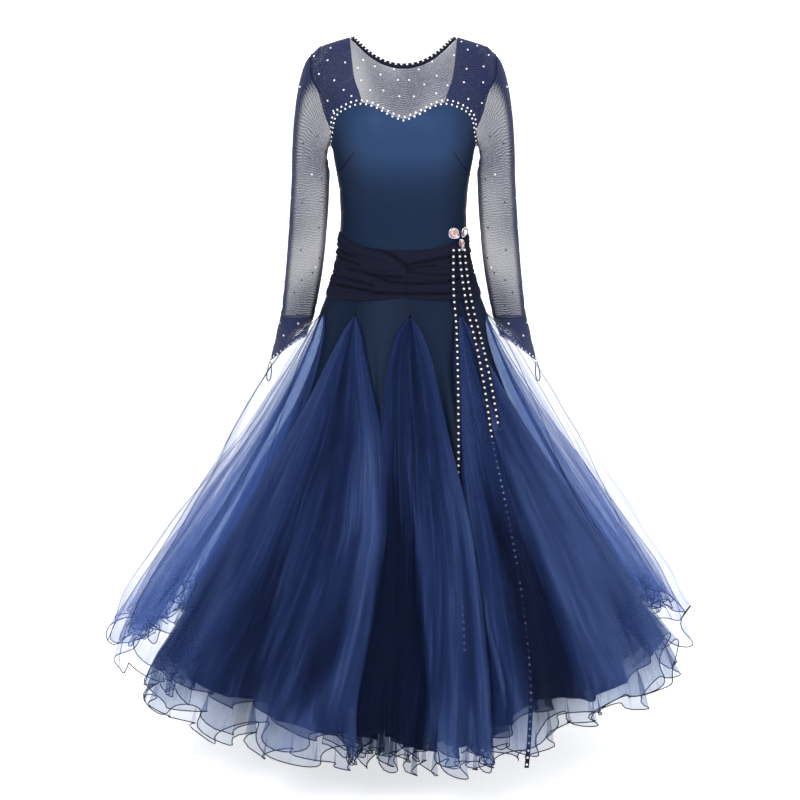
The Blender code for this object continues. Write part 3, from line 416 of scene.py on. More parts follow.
class DressSizes(bpy.types.PropertyGroup):
    stone: FloatProperty(
        name="Stone", description="Width of a small stone", default=0.0044, unit="LENGTH")
    stone_pitch: FloatProperty(
        name="Stone pitch", description="From stone to stone along an edge",
        default=0.0115, unit="LENGTH")
    ribbon_pitch: FloatProperty(
        name="Ribbon pitch", description="From stone to stone along a ribbon",
        default=0.013, unit="LENGTH")
    hem_cord: FloatProperty(
        name="Hem cord", description="Thickness of the corded hem", default=0.0021,
        unit="LENGTH")
    seam_cord: FloatProperty(
        name="Seam cord", description="Thickness of the overlocked seam round a godet",
        default=0.0012, unit="LENGTH")
    loop_cord: FloatProperty(
        name="Loop cord", description="Thickness of the finger loops", default=0.0022,
        unit="LENGTH")


def colour_property(name, description, value):
    return FloatVectorProperty(name=name, description=description, default=value,
                               subtype="COLOR", size=3, min=0.0, max=1.0)


class DressColours(bpy.types.PropertyGroup):
    satin: colour_property("Satin", "Bodice and gores", (0.0069, 0.0152, 0.0385))
    organza: colour_property("Organza", "Middle tone of the godets", (0.0158, 0.0300, 0.1030))
    # painted highlight on the crests of the godets and painted shade in their depths
    organza_highlight: colour_property("Organza ridge", "Crests of the godets",
                                   (0.0470, 0.0800, 0.2120))
    organza_shade: colour_property("Organza fold", "Depths of the godets", (0.0038, 0.0068, 0.0245))
    mesh: colour_property("Mesh", "Yoke and sleeves", (0.014, 0.019, 0.062))
    double_mesh: colour_property("Double mesh", "Strap panels and cuffs", (0.013, 0.021, 0.072))
    jersey: colour_property("Jersey", "Sash", (0.0062, 0.0072, 0.0190))
    cord: colour_property("Cord", "Hem cords, binding and ribbons", (0.004, 0.005, 0.013))
    crystal: colour_property("Crystal", "Stones", (0.820, 0.810, 0.860))


def sizes():
    return bpy.context.scene.dress_sizes


def colours():
    return bpy.context.scene.dress_colours


# ---------------------------------------------------------------- tables and vectors

def read_table(rows, at, column):
    """One column of a table with straight lines between its rows."""
    table = np.array(rows, float)
    return np.interp(at, table[:, 0], table[:, column])


def smooth_table(rows, at, column):
    """As read_table, with a smooth curve through the rows."""
    table = np.array(rows, float)
    keys, values = table[:, 0], table[:, column]
    at = np.clip(at, keys[0], keys[-1])
    here = np.clip(np.searchsorted(keys, at) - 1, 0, len(keys) - 2)
    before, after = np.maximum(here - 1, 0), np.minimum(here + 2, len(keys) - 1)
    span = keys[here + 1] - keys[here]
    share = (at - keys[here]) / span
    slope_here = (values[here + 1] - values[before]) / (keys[here + 1] - keys[before]) * span
    slope_there = (values[after] - values[here]) / (keys[after] - keys[here]) * span
    square, cube = share**2, share**3
    return ((2 * cube - 3 * square + 1) * values[here] + (cube - 2 * square + share) * slope_here
            + (3 * square - 2 * cube) * values[here + 1] + (cube - square) * slope_there)


def unit(vectors):
    lengths = np.linalg.norm(vectors, axis=-1, keepdims=True)
    return vectors / np.maximum(lengths, 1e-12)


def ease(share):
    share = np.clip(share, 0.0, 1.0)
    return share * share * (3 - 2 * share)


def stacked(*parts):
    return np.stack(np.broadcast_arrays(*parts), axis=-1)


# ---------------------------------------------------------------- body form

def shoulder_height(across):
    return read_table(SHOULDER, np.abs(across), 1)


def body_points(angle, height):
    """Points of the body form, below the shoulder seam."""
    angle, height = np.broadcast_arrays(np.asarray(angle, float), np.asarray(height, float))
    sine, cosine = np.sin(np.radians(angle)), np.cos(np.radians(angle))
    behind = cosine < 0
    half_width = smooth_table(SECTIONS, height, 1)
    depth = np.where(behind, smooth_table(SECTIONS, height, 3), smooth_table(SECTIONS, height, 2))
    power = 2.0 / smooth_table(SECTIONS, height, 4)
    across = half_width * np.sign(sine) * np.abs(sine) ** power
    out = depth * np.sign(cosine) * np.abs(cosine) ** power
    rise = np.clip((height - CHEST_Z) / (shoulder_height(across) - CHEST_Z), 0.0, 1.0)
    out = out * np.maximum(np.cos(rise * np.pi / 2), 0.0) ** SHOULDER_ROUND
    side = (np.abs(across) - CUP_X) / CUP_WIDE
    level = (height - CUP_Z) / CUP_TALL
    cup = CUP_OUT * np.exp(-side * side - level * level) * np.abs(cosine)
    return stacked(across, -(out + np.where(behind, 0.0, cup)), height)


def body_normals(angle, height):
    """Outward normals of the body form."""
    angle, height = np.broadcast_arrays(np.asarray(angle, float), np.asarray(height, float))
    round_body = body_points(angle + TURN_STEP, height) - body_points(angle - TURN_STEP, height)
    across = body_points(angle, height)[..., 0]
    lower = np.minimum(height, shoulder_height(across)) - RISE_STEP
    up = body_points(angle, lower + RISE_STEP) - body_points(angle, lower - RISE_STEP)
    normals = unit(np.cross(round_body, up))
    rough = stacked(np.sin(np.radians(angle)), -np.cos(np.radians(angle)), 0.3)
    facing = np.sum(normals * rough, axis=-1, keepdims=True)
    return np.where(facing > 0, normals, -normals)


def angle_at(across, height):
    """The angle at which the body form is this far across."""
    half_width = smooth_table(SECTIONS, height, 1)
    power = smooth_table(SECTIONS, height, 4) / 2.0
    sine = np.sign(across) * np.clip(np.abs(across) / half_width, 0.0, 1.0) ** power
    return np.degrees(np.arcsin(sine))

def turned(angle, behind):
    """The same place on the other half of the body."""
    return np.where(angle < 0, -180.0, 180.0) - angle if behind else np.asarray(angle, float)


def step_angle(step):
    """Angle of a column: 0 to 1 over the middle, to 2 over a strap, to 3 beside the armhole."""
    seam = 90.0 - math.degrees(SEAM_GAP / 2 / SIDE_SEAM_HALF)
    angle = np.interp(np.abs(step), (0, 1, 2, 3), (0, STRAP_ANGLE, ARMHOLE_ANGLE, seam))
    return np.sign(step) * angle


def edge_height(table, angle):
    return smooth_table(table, np.abs(angle), 1)


# ---------------------------------------------------------------- meshes

# least share of the rectangle round a flat piece that the piece itself fills
CUT_SHARE = 0.34


def add_mesh(name, points, faces, material):
    mesh = bpy.data.meshes.new(name)
    mesh.from_pydata(np.asarray(points).reshape(-1, 3).tolist(), [], faces)
    mesh.materials.append(finish_named(material))
    mesh.shade_smooth()
    piece = bpy.data.objects.new(name, mesh)
    bpy.context.scene.collection.objects.link(piece)
    return piece


def store(mesh, name, values, domain="POINT"):
    """Keeps a number for each point or face of a mesh."""
    kept = mesh.attributes.new(name, "FLOAT", domain)
    kept.data.foreach_set("value", np.asarray(values, np.float32).reshape(-1))

def joined(grid, closed):
    """The grid, with its first column again at its end where it closes into a tube."""
    return np.concatenate([grid, grid[:, :1]], axis=1) if closed else grid

def add_grid(name, grid, material, closed=False, inside=None, marks=None):
    """A sheet of cloth through a grid of points, with its UV map in metres."""
    rows, columns = grid.shape[:2]
    across = columns if closed else columns - 1
    index = joined(np.arange(rows * columns).reshape(rows, columns), closed)
    corners = np.stack([index[:-1, :-1], index[:-1, 1:], index[1:, 1:], index[1:, :-1]], axis=-1)
    middle = inside if inside is not None else grid.mean(axis=(0, 1)) * (0.0, 0.0, 1.0)
    down, along = np.gradient(grid, axis=0), np.gradient(grid, axis=1)
    faces = corners.reshape(-1, 4)
    flip = np.sum(np.cross(along, down) * (grid - middle)) > 0
    if flip:
        faces = faces[:, ::-1]
    piece = add_mesh(name, grid, faces.tolist(), material)
    wide = np.linalg.norm(np.diff(joined(grid, closed), axis=1), axis=2)
    u = np.concatenate([np.zeros((rows, 1)), np.cumsum(wide, axis=1)], axis=1)
    u -= u[:, -1:] / 2
    tall = np.linalg.norm(np.diff(grid, axis=0), axis=2).mean(axis=1)
    v = -np.concatenate([[0.0], np.cumsum(tall)])[:, None] + np.zeros_like(u)
    places = np.stack([u, v], axis=-1)
    cells = np.stack([places[:-1, :across], places[:-1, 1:across + 1],
                      places[1:, 1:across + 1], places[1:, :across]], axis=2).reshape(-1, 4, 2)
    if flip:
        cells = cells[:, ::-1]
    layer = piece.data.uv_layers.new(name="cloth")
    layer.data.foreach_set("uv", cells.reshape(-1).astype(np.float32))
    for label, values in (marks or {}).items():
        store(piece.data, label, values)
    return piece


def keep_piece(piece, nodes=()):
    """The piece rides on the dress, and stands for these nodes."""
    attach(piece, "root")
    if nodes:
        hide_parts(*nodes)
    return piece


def keep_cloth(piece, grid, nodes=(), closed=False):
    """As keep_piece, for a sheet that was cut flat to the size of its grid."""
    keep_piece(piece, nodes)
    wide = np.linalg.norm(np.diff(joined(grid, closed), axis=1), axis=2).sum(axis=1).max()
    tall = np.linalg.norm(np.diff(grid, axis=0), axis=2).sum(axis=0).max()
    area = sum(face.area for face in piece.data.polygons)
    # a corded hem is stretched as it is sewn, so its cloth is cut narrower than its edge
    wide = min(wide, area / (CUT_SHARE * tall))
    return piece


# ---------------------------------------------------------------- finishes

def add_node(tree, kind, inputs=None, **settings):
    made = tree.nodes.new(kind)
    for name, value in settings.items():
        setattr(made, name, value)
    for key, value in (inputs or {}).items():
        if isinstance(value, bpy.types.NodeSocket):
            tree.links.new(value, made.inputs[key])
        else:
            made.inputs[key].default_value = value
    return made


def new_finish(name, **shader):
    """A material with a Principled shader, whose even values are set on its own sockets."""
    material = bpy.data.materials.new(name)
    material.use_nodes = True
    tree = material.node_tree
    principled = tree.nodes["Principled BSDF"]
    for key, value in shader.items():
        socket = principled.inputs[key.replace("_", " ").title().replace("Ior", "IOR")]
        socket.default_value = (*value, 1.0) if isinstance(value, tuple) else value
    return material, tree, principled

def cloth_uv(tree):
    return add_node(tree, "ShaderNodeUVMap", uv_map="cloth").outputs["UV"]

def object_place(tree):
    return add_node(tree, "ShaderNodeTexCoord").outputs["Object"]

def mark(tree, name):
    """A number stored on the points or faces of a piece."""
    return add_node(tree, "ShaderNodeAttribute", attribute_name=name).outputs["Fac"]

def scaled_uv(tree, uv, scale, turn=0.0):
    placed = add_node(tree, "ShaderNodeMapping",
                      {"Vector": uv, "Scale": (*scale, 1.0), "Rotation": (0.0, 0.0, turn)})
    return placed.outputs["Vector"]

def noise(tree, uv, scale, detail, turn=0.0, distortion=0.0):
    """Soft patches, with a scale for each way of the cloth."""
    return add_node(tree, "ShaderNodeTexNoise",
                    {"Vector": scaled_uv(tree, uv, scale, turn), "Scale": 1.0,
                     "Detail": detail, "Distortion": distortion})

def ramp(tree, factor, stops):
    made = add_node(tree, "ShaderNodeValToRGB", {"Fac": factor})
    band = made.color_ramp
    while len(band.elements) < len(stops):
        band.elements.new(0.5)
    for element, (place, colour) in zip(band.elements, stops):
        element.position = place
        element.color = (*colour, 1.0)
    return made.outputs["Color"]

def paint(tree, principled, factor, stops):
    """Colours a surface by a ramp."""
    tree.links.new(ramp(tree, factor, stops), principled.inputs["Base Color"])

def grey(value):
    return (value, value, value)

def shade(colour, light):
    return [light * part for part in colour]

def add_bump(tree, principled, height, strength, distance):
    bump = add_node(tree, "ShaderNodeBump",
                    {"Height": height, "Strength": strength, "Distance": distance})
    tree.links.new(bump.outputs["Normal"], principled.inputs["Normal"])

def sheer(tree, principled, opacity, tint=(1.0, 1.0, 1.0)):
    """Lets light through the cloth, tinted by its threads."""
    opacity = add_node(tree, "ShaderNodeClamp", {"Value": opacity}).outputs["Result"]
    clear = add_node(tree, "ShaderNodeBsdfTransparent", {"Color": (*tint, 1.0)})
    mix = add_node(tree, "ShaderNodeMixShader",
                   {0: opacity, 1: clear.outputs["BSDF"], 2: principled.outputs["BSDF"]})
    tree.links.new(mix.outputs["Shader"], tree.nodes["Material Output"].inputs["Surface"])

def combine(tree, operation, *values):
    """One sum worked out on values."""
    return add_node(tree, "ShaderNodeMath", dict(enumerate(values)),
                    operation=operation).outputs["Value"]

def multiply(tree, first, second, add=0.0):
    return combine(tree, "MULTIPLY_ADD", first, second, add)

def map_range(tree, value, source, target):
    """A value moved from one range into another."""
    return add_node(tree, "ShaderNodeMapRange",
                    {"Value": value, "From Min": source[0], "From Max": source[1],
                     "To Min": target[0], "To Max": target[1]}).outputs["Result"]

def make_satin():
    """Stretch satin: fine knit ribs and a soft sheen, lighter where it is stretched, with a
    painted highlight over the bust and painted shade at the sides.
    """
    material, tree, principled = new_finish(
        "stretch satin", roughness=0.50, specular_ior_level=0.12,
        specular_tint=(0.45, 0.60, 0.90), sheen_weight=0.03, sheen_roughness=0.40,
        sheen_tint=(0.35, 0.55, 0.95))
    uv = cloth_uv(tree)
    knit = add_node(tree, "ShaderNodeTexWave", {"Vector": uv, "Scale": 260.0, "Distortion": 0.6},
                    bands_direction="X")
    cloud = noise(tree, uv, (9.0, 4.0), 3.0).outputs["Fac"]
    base = colours().satin
    # lighter by the stretch mark, which holds a painted highlight over the bust and painted shade
    # at the sides and in the gores
    paint(tree, principled, multiply(tree, cloud, 0.16, mark(tree, "stretch")), (
        (0.08, shade(base, 0.50)), (0.43, base), (1.00, shade(base, 2.70))))
    add_bump(tree, principled, knit.outputs["Fac"], 0.12, 0.0003)
    return material

def make_jersey():
    """Matt jersey with a fine crepe surface, with painted shade in its folds."""
    material, tree, principled = new_finish(
        "ruched jersey", roughness=0.85, specular_ior_level=0.08, sheen_weight=0.02,
        sheen_roughness=0.5, sheen_tint=(0.45, 0.5, 0.8))
    crepe = noise(tree, cloth_uv(tree), (500.0, 1100.0), 2.0).outputs["Fac"]
    # painted shade in the folds of the sash
    folded = multiply(tree, mark(tree, "folded"), 0.48)
    level = combine(tree, "SUBTRACT", multiply(tree, crepe, 0.30, 0.45), folded)
    base = colours().jersey
    paint(tree, principled, level, (
        (0.00, shade(base, 0.30)), (0.60, base), (1.00, shade(base, 1.60))))
    add_bump(tree, principled, crepe, 0.35, 0.0004)
    return material

def make_mesh(name, base, low, high, strength, gaps=0.0):
    """Sheer stretch mesh: a fine net whose rows wander as it stretches, and part in places."""
    material, tree, principled = new_finish(
        name, base_color=tuple(base), roughness=0.70, specular_ior_level=0.15, sheen_weight=0.05,
        sheen_tint=(0.5, 0.55, 0.9))
    uv = cloth_uv(tree)
    drift = noise(tree, uv, (7.0, 5.0), 1.0).outputs["Fac"]
    bent = noise(tree, uv, (26.0, 17.0), 2.0).outputs["Color"]
    bent = add_node(tree, "ShaderNodeVectorMath", {0: bent, "Scale": 0.030}, operation="SCALE")
    bent = add_node(tree, "ShaderNodeVectorMath", {0: bent.outputs["Vector"], 1: uv})
    rows = add_node(tree, "ShaderNodeTexWave",
                    {"Vector": bent.outputs["Vector"], "Scale": 62.0, "Distortion": 1.5,
                     "Detail": 1.0, "Detail Scale": 0.5}, bands_direction="Y").outputs["Fac"]
    grain = noise(tree, uv, (420.0, 520.0), 1.0).outputs["Fac"]
    net = add_node(tree, "ShaderNodeTexVoronoi",
                   {"Vector": scaled_uv(tree, uv, (1100.0, 1100.0)), "Randomness": 0.15},
                   feature="DISTANCE_TO_EDGE")
    thread = ramp(tree, net.outputs["Distance"], ((0.10, grey(1.0)), (0.42, grey(0.0))))
    patch = ramp(tree, drift, ((0.42, grey(0.25)), (0.58, grey(1.0))))
    stretch = multiply(tree, multiply(tree, rows, strength), patch)
    stretch = multiply(tree, grain, 0.16, stretch)
    density = combine(tree, "ADD", map_range(tree, drift, (0.3, 0.7), (low, high)), stretch)
    density = combine(tree, "ADD", density, mark(tree, "thick"))
    opacity = multiply(tree, thread, 0.22, density)
    if gaps:
        parted = ramp(tree, rows, ((0.55, grey(0.0)), (0.85, grey(1.0))))
        place = ramp(tree, drift, ((0.48, grey(0.0)), (0.60, grey(1.0))))
        opacity = multiply(tree, multiply(tree, parted, place), -gaps, opacity)
    add_bump(tree, principled, thread, 0.4, 0.0002)
    sheer(tree, principled, opacity)
    return material

def make_organza(name, low, high, light, tint=(0.84, 0.90, 1.0)):
    """Crisp organza: painted highlight on its crests and painted shade in its depths, thin at the
    hem.
    """
    material, tree, principled = new_finish(
        name, roughness=0.60, specular_ior_level=0.08, specular_tint=(0.50, 0.65, 1.0),
        sheen_weight=0.05, sheen_roughness=0.40, sheen_tint=(0.35, 0.50, 1.0))
    painted_light, down, across = (mark(tree, word) for word in ("painted_light", "down", "across"))
    grain = add_node(tree, "ShaderNodeCombineXYZ", {"X": across, "Y": down}).outputs["Vector"]
    wide = noise(tree, grain, (9.0, 2.2), 3.0, distortion=0.7).outputs["Fac"]
    fine = noise(tree, grain, (34.0, 3.0), 2.0, turn=0.03, distortion=0.5).outputs["Fac"]
    lines = ramp(tree, fine, ((0.55, grey(0.0)), (0.62, grey(1.0)), (0.66, grey(0.1)),
                              (1.0, grey(0.0))))
    shown = combine(tree, "ADD", multiply(tree, wide, 0.80, -0.40), painted_light)
    shown = multiply(tree, lines, 0.24, shown)
    # colour from painted shade through the middle tone to painted highlight, by the painted light
    # mark and scaled by the layer's light
    palette = colours().organza_shade, colours().organza, colours().organza_highlight
    paint(tree, principled, shown, [
        (place, shade(colour, light)) for place, colour in zip((0.10, 0.52, 1.0), palette)])
    weave = add_node(tree, "ShaderNodeTexWave", {"Vector": cloth_uv(tree), "Scale": 300.0},
                     bands_direction="DIAGONAL").outputs["Fac"]
    folded = combine(tree, "ABSOLUTE", combine(tree, "SUBTRACT", painted_light, 0.42))
    opacity = map_range(tree, down, (0.93, 0.985), (high, low))
    for part, share in ((folded, 0.26), (lines, 0.10), (weave, 0.03)):
        opacity = multiply(tree, part, share, opacity)
    add_bump(tree, principled, multiply(tree, wide, 0.7, fine), 0.50, 0.012)
    sheer(tree, principled, opacity, tint)
    return material

def make_cord():
    """Matt thread, wound tightly."""
    material, tree, principled = new_finish(
        "wound cord", roughness=0.70, specular_ior_level=0.12)
    strand = add_node(tree, "ShaderNodeTexNoise",
                      {"Vector": object_place(tree), "Scale": 900.0}).outputs["Fac"]
    base = colours().cord
    paint(tree, principled, strand, ((0.3, shade(base, 0.6)), (0.7, shade(base, 1.5))))
    add_bump(tree, principled, strand, 0.3, 0.0002)
    return material

def make_crystal():
    """Foil-backed faceted glass."""
    material, tree, principled = new_finish(
        "small crystal", roughness=0.10, specular_ior_level=0.8, coat_weight=1.0,
        coat_roughness=0.03)
    tint = add_node(tree, "ShaderNodeTexVoronoi", {"Vector": object_place(tree), "Scale": 190.0})
    paint(tree, principled, tint.outputs["Color"], (
        (0.0, (0.86, 0.86, 0.95)), (0.45, colours().crystal), (1.0, (0.97, 0.92, 0.90))))
    return material

def make_brooch_crystal():
    """Faceted glass with a coating of pink, violet, blue, green and gold, each facet painted its
    own colour: partly the coating, partly painted reflections, dark on some facets and bright on
    others.
    """
    material, tree, principled = new_finish(
        "coated crystal", roughness=0.12, metallic=0.55, coat_weight=0.25, coat_roughness=0.03)
    paint(tree, principled, mark(tree, "facet_coat_and_reflection"), (
        (0.00, (0.20, 0.14, 0.26)), (0.14, (0.80, 0.76, 0.84)), (0.28, (0.70, 0.16, 0.34)),
        (0.42, (0.34, 0.14, 0.66)), (0.56, (0.86, 0.82, 0.88)), (0.70, (0.80, 0.32, 0.12)),
        (0.85, (0.30, 0.55, 0.36)), (1.00, (0.84, 0.62, 0.68))))
    return material

def make_silver():
    material, tree, principled = new_finish("silver setting", roughness=0.22, metallic=1.0)
    worn = add_node(tree, "ShaderNodeTexNoise", {"Vector": object_place(tree), "Scale": 260.0})
    paint(tree, principled, worn.outputs["Fac"], (
        (0.3, (0.62, 0.62, 0.66)), (0.7, (0.82, 0.82, 0.85))))
    return material

def make_paper():
    """Plain pale paper of the studio."""
    return new_finish("floor paper", base_color=(0.90, 0.90, 0.90), roughness=0.9,
                      emission_color=(1.0, 1.0, 1.0), emission_strength=PAPER_GLOW)[0]

FINISHES = {
    "satin": make_satin,
    "jersey": make_jersey,
    "mesh": lambda: make_mesh("sheer mesh", colours().mesh, 0.20, 0.31, 0.30),
    "double_mesh": lambda: make_mesh("double mesh", colours().double_mesh, 0.60, 0.74, 0.10, 0.9),
    # the third number of each organza finish scales its colours as painted light: darker for the
    # inner layers, as if in shade, lighter for the outer ones and much lighter at the sides, as if
    # lit through
    "organza_lining": lambda: make_organza("organza lining", 0.86, 0.97, 0.70),
    "organza_inner": lambda: make_organza("organza inner", 0.50, 0.80, 0.85),
    "organza_middle": lambda: make_organza("organza middle", 0.18, 0.48, 0.92, (0.88, 0.93, 1.0)),
    "organza_upper": lambda: make_organza("organza upper", 0.11, 0.28, 1.0, (0.92, 0.95, 1.0)),
    "organza_outer": lambda: make_organza("organza outer", 0.08, 0.15, 1.1, (0.95, 0.97, 1.0)),
    "organza_dense": lambda: make_organza("organza dense", 0.09, 0.19, 2.4, (0.90, 0.95, 1.0)),
    "organza_pale": lambda: make_organza("organza pale", 0.05, 0.10, 2.7, (0.93, 0.965, 1.0)),
    "organza_veil": lambda: make_organza("organza veil", 0.11, 0.05, 2.2, (0.96, 0.97, 0.99)),
    "cord": make_cord,
    "crystal": make_crystal,
    "brooch": make_brooch_crystal,
    "silver": make_silver,
    "floor": make_paper,
}
made_finishes = {}


def finish_named(name):
    if name not in made_finishes:
        made_finishes[name] = FINISHES[name]()
    return made_finishes[name]


# ---------------------------------------------------------------- Geometry Nodes

def new_geometry_tree(name, inputs):
    tree = bpy.data.node_groups.new(name, "GeometryNodeTree")
    tree.interface.new_socket("Geometry", in_out="INPUT", socket_type="NodeSocketGeometry")
    for label, kind in inputs:
        tree.interface.new_socket(label, in_out="INPUT", socket_type=kind)
    tree.interface.new_socket("Geometry", in_out="OUTPUT", socket_type="NodeSocketGeometry")
    return tree, tree.nodes.new("NodeGroupInput"), tree.nodes.new("NodeGroupOutput")


def cord_tree():
    """A round cord along an edge."""
    found = bpy.data.node_groups.get("Cord along an edge")
    if found:
        return found
    tree, start, end = new_geometry_tree("Cord along an edge", (
        ("Radius", "NodeSocketFloat"), ("Sides", "NodeSocketInt"),
        ("Finish", "NodeSocketMaterial")))
    line = add_node(tree, "GeometryNodeMeshToCurve", {"Mesh": start.outputs["Geometry"]})
    circle = add_node(tree, "GeometryNodeCurvePrimitiveCircle",
                      {"Resolution": start.outputs["Sides"], "Radius": start.outputs["Radius"]})
    tube = add_node(tree, "GeometryNodeCurveToMesh",
                    {"Curve": line.outputs["Curve"], "Profile Curve": circle.outputs["Curve"],
                     "Fill Caps": True})
    real = add_node(tree, "GeometryNodeRealizeInstances", {"Geometry": tube.outputs["Mesh"]})
    finish = add_node(tree, "GeometryNodeSetMaterial",
                      {"Geometry": real.outputs["Geometry"], "Material": start.outputs["Finish"]})
    tree.links.new(finish.outputs["Geometry"], end.inputs["Geometry"])
    return tree


# a small stone, in shares of its width: facets, half widths of its table, girdle, base and foil,
# heights of its rim and crown, how far the foil lies behind it
FACETS, TABLE, GIRDLE, BASE, FOIL = 8, 0.27, 0.5, 0.46, 0.48
RIM_TALL, CROWN_TALL, FOIL_BEHIND = 0.12, 0.30, 0.03

def stone_tree():
    """A flat-backed faceted stone on each point, facing along its stored direction."""
    found = bpy.data.node_groups.get("Stones on points")
    if found:
        return found
    tree, start, end = new_geometry_tree("Stones on points", (
        ("Width", "NodeSocketFloat"), ("Finish", "NodeSocketMaterial"),
        ("Backing", "NodeSocketMaterial")))
    rim = add_node(tree, "GeometryNodeMeshCone",
                   {"Vertices": FACETS, "Radius Top": GIRDLE, "Radius Bottom": BASE,
                    "Depth": RIM_TALL})
    crown = add_node(tree, "GeometryNodeMeshCone",
                     {"Vertices": FACETS, "Radius Top": TABLE, "Radius Bottom": GIRDLE,
                      "Depth": CROWN_TALL})
    raised = add_node(tree, "GeometryNodeTransform",
                      {"Geometry": crown.outputs["Mesh"], "Translation": (0.0, 0.0, RIM_TALL)})
    glass = add_node(tree, "GeometryNodeJoinGeometry")
    tree.links.new(rim.outputs["Mesh"], glass.inputs["Geometry"])
    tree.links.new(raised.outputs["Geometry"], glass.inputs["Geometry"])
    glass = add_node(tree, "GeometryNodeSetMaterial",
                     {"Geometry": glass.outputs["Geometry"], "Material": start.outputs["Finish"]})
    disc = add_node(tree, "GeometryNodeMeshCircle", {"Vertices": FACETS, "Radius": FOIL},
                    fill_type="NGON")
    foil = add_node(tree, "GeometryNodeTransform",
                    {"Geometry": disc.outputs["Mesh"], "Translation": (0.0, 0.0, -FOIL_BEHIND)})
    foil = add_node(tree, "GeometryNodeSetMaterial",
                    {"Geometry": foil.outputs["Geometry"], "Material": start.outputs["Backing"]})
    stone = add_node(tree, "GeometryNodeJoinGeometry")
    tree.links.new(glass.outputs["Geometry"], stone.inputs["Geometry"])
    tree.links.new(foil.outputs["Geometry"], stone.inputs["Geometry"])
    facing = add_node(tree, "GeometryNodeInputNamedAttribute", {"Name": "facing"},
                      data_type="FLOAT_VECTOR")
    turn = add_node(tree, "FunctionNodeAlignRotationToVector",
                    {"Vector": facing.outputs["Attribute"]}, axis="Z")
    size = add_node(tree, "GeometryNodeInputNamedAttribute", {"Name": "size"},
                    data_type="FLOAT")
    scale = add_node(tree, "ShaderNodeMath",
                     {0: size.outputs["Attribute"], 1: start.outputs["Width"]},
                     operation="MULTIPLY")
    placed = add_node(tree, "GeometryNodeInstanceOnPoints",
                      {"Points": start.outputs["Geometry"], "Instance": stone.outputs["Geometry"],
                       "Rotation": turn.outputs["Rotation"], "Scale": scale.outputs["Value"]})
    real = add_node(tree, "GeometryNodeRealizeInstances",
                    {"Geometry": placed.outputs["Instances"]})
    tree.links.new(real.outputs["Geometry"], end.inputs["Geometry"])
    return tree


def grow(name, source, tree, values):
    """The plain mesh that a tree makes from a source mesh."""
    holder = bpy.data.objects.new(name + "_line", source)
    bpy.context.scene.collection.objects.link(holder)
    modifier = holder.modifiers.new(name, "NODES")
    modifier.node_group = tree
    for item in tree.interface.items_tree:
        if item.in_out == "INPUT" and item.name in values:
            modifier[item.identifier] = values[item.name]
    bpy.context.view_layer.update()
    seen = holder.evaluated_get(bpy.context.evaluated_depsgraph_get())
    mesh = bpy.data.meshes.new_from_object(seen)
    mesh.name = name
    holder.modifiers.clear()
    bpy.data.objects.remove(holder)
    piece = bpy.data.objects.new(name, mesh)
    bpy.context.scene.collection.objects.link(piece)
    return piece


def add_cord(name, lines, width, sides=5, closed=False, finish="cord"):
    """Round cords along lines of points."""
    source = bpy.data.meshes.new(name + "_line")
    points, edges = [], []
    for line in lines:
        start = len(points)
        points += np.asarray(line).tolist()
        edges += [(start + i, start + i + 1) for i in range(len(line) - 1)]
        if closed:
            edges.append((start + len(line) - 1, start))
    source.from_pydata(points, edges, [])
    piece = grow(name, source, cord_tree(),
                 {"Radius": width / 2, "Sides": sides, "Finish": finish_named(finish)})
    piece.data.shade_smooth()
    return piece


def add_stones(name, points, normals, scale=1.0):
    """Small stones on points, each facing out from the cloth."""
    points, normals = np.asarray(points).reshape(-1, 3), np.asarray(normals).reshape(-1, 3)
    scales = np.broadcast_to(scale, len(points))
    width = sizes().stone
    source = bpy.data.meshes.new(name + "_line")
    source.from_pydata((points + normals * scales[:, None] * width * 0.06).tolist(), [], [])
    facing = source.attributes.new("facing", "FLOAT_VECTOR", "POINT")
    facing.data.foreach_set("vector", normals.reshape(-1).astype(np.float32))
    store(source, "size", scales)
    piece = grow(name, source, stone_tree(),
                 {"Width": width, "Finish": finish_named("crystal"),
                  "Backing": finish_named("cord")})
    piece.data.shade_flat()
    return keep_piece(piece)


def spaced(line, pitch, first=0.0):
    """Places along a line of points at an even pitch, as index numbers with fractions."""
    lengths = np.concatenate([[0.0], np.cumsum(np.linalg.norm(np.diff(line, axis=0), axis=1))])
    marks = np.arange(first, lengths[-1], pitch)
    return np.interp(marks, lengths, np.arange(len(line)))


def at_places(line, places):
    """The values of a line at index numbers with fractions."""
    index = np.arange(len(line))
    return np.stack([np.interp(places, index, line[:, i]) for i in range(line.shape[1])], axis=1)


# ---------------------------------------------------------------- bodice

def crease_depth(points, creases, sides=(1.0,)):
    """How far in the cloth is pulled by creases that lie between two places."""
    depth = np.zeros(points.shape[:-1])
    for start_x, start_z, end_x, end_z, width, deep in creases:
        for side in sides:
            start = np.array((start_x * side, start_z))
            run = np.array((end_x * side, end_z)) - start
            place = points[..., [0, 2]] - start
            share = np.clip(place @ run / (run @ run), 0.0, 1.0)
            away = np.linalg.norm(place - share[..., None] * run, axis=-1)
            depth += deep * (1 - 0.75 * share) * np.exp(-((away / width) ** 2))
    return depth


def bodice_sheet(behind):
    table = BACK_EDGE if behind else SWEETHEART
    angles = step_angle(np.linspace(-3, 3, BODICE_COLUMNS))
    share = np.linspace(0.0, 1.0, BODICE_ROWS)[:, None]
    heights = edge_height(table, angles) * (1 - share) + BODICE_HEM_Z * share
    place = turned(angles, behind) + 0 * heights
    points, normals = body_points(place, heights), body_normals(place, heights)
    pulled = crease_depth(points, PULLS)
    if not behind:
        pulled += crease_depth(points, DARTS, (-1.0, 1.0))
    return points - normals * pulled[..., None], satin_stretch_and_light(points, behind)


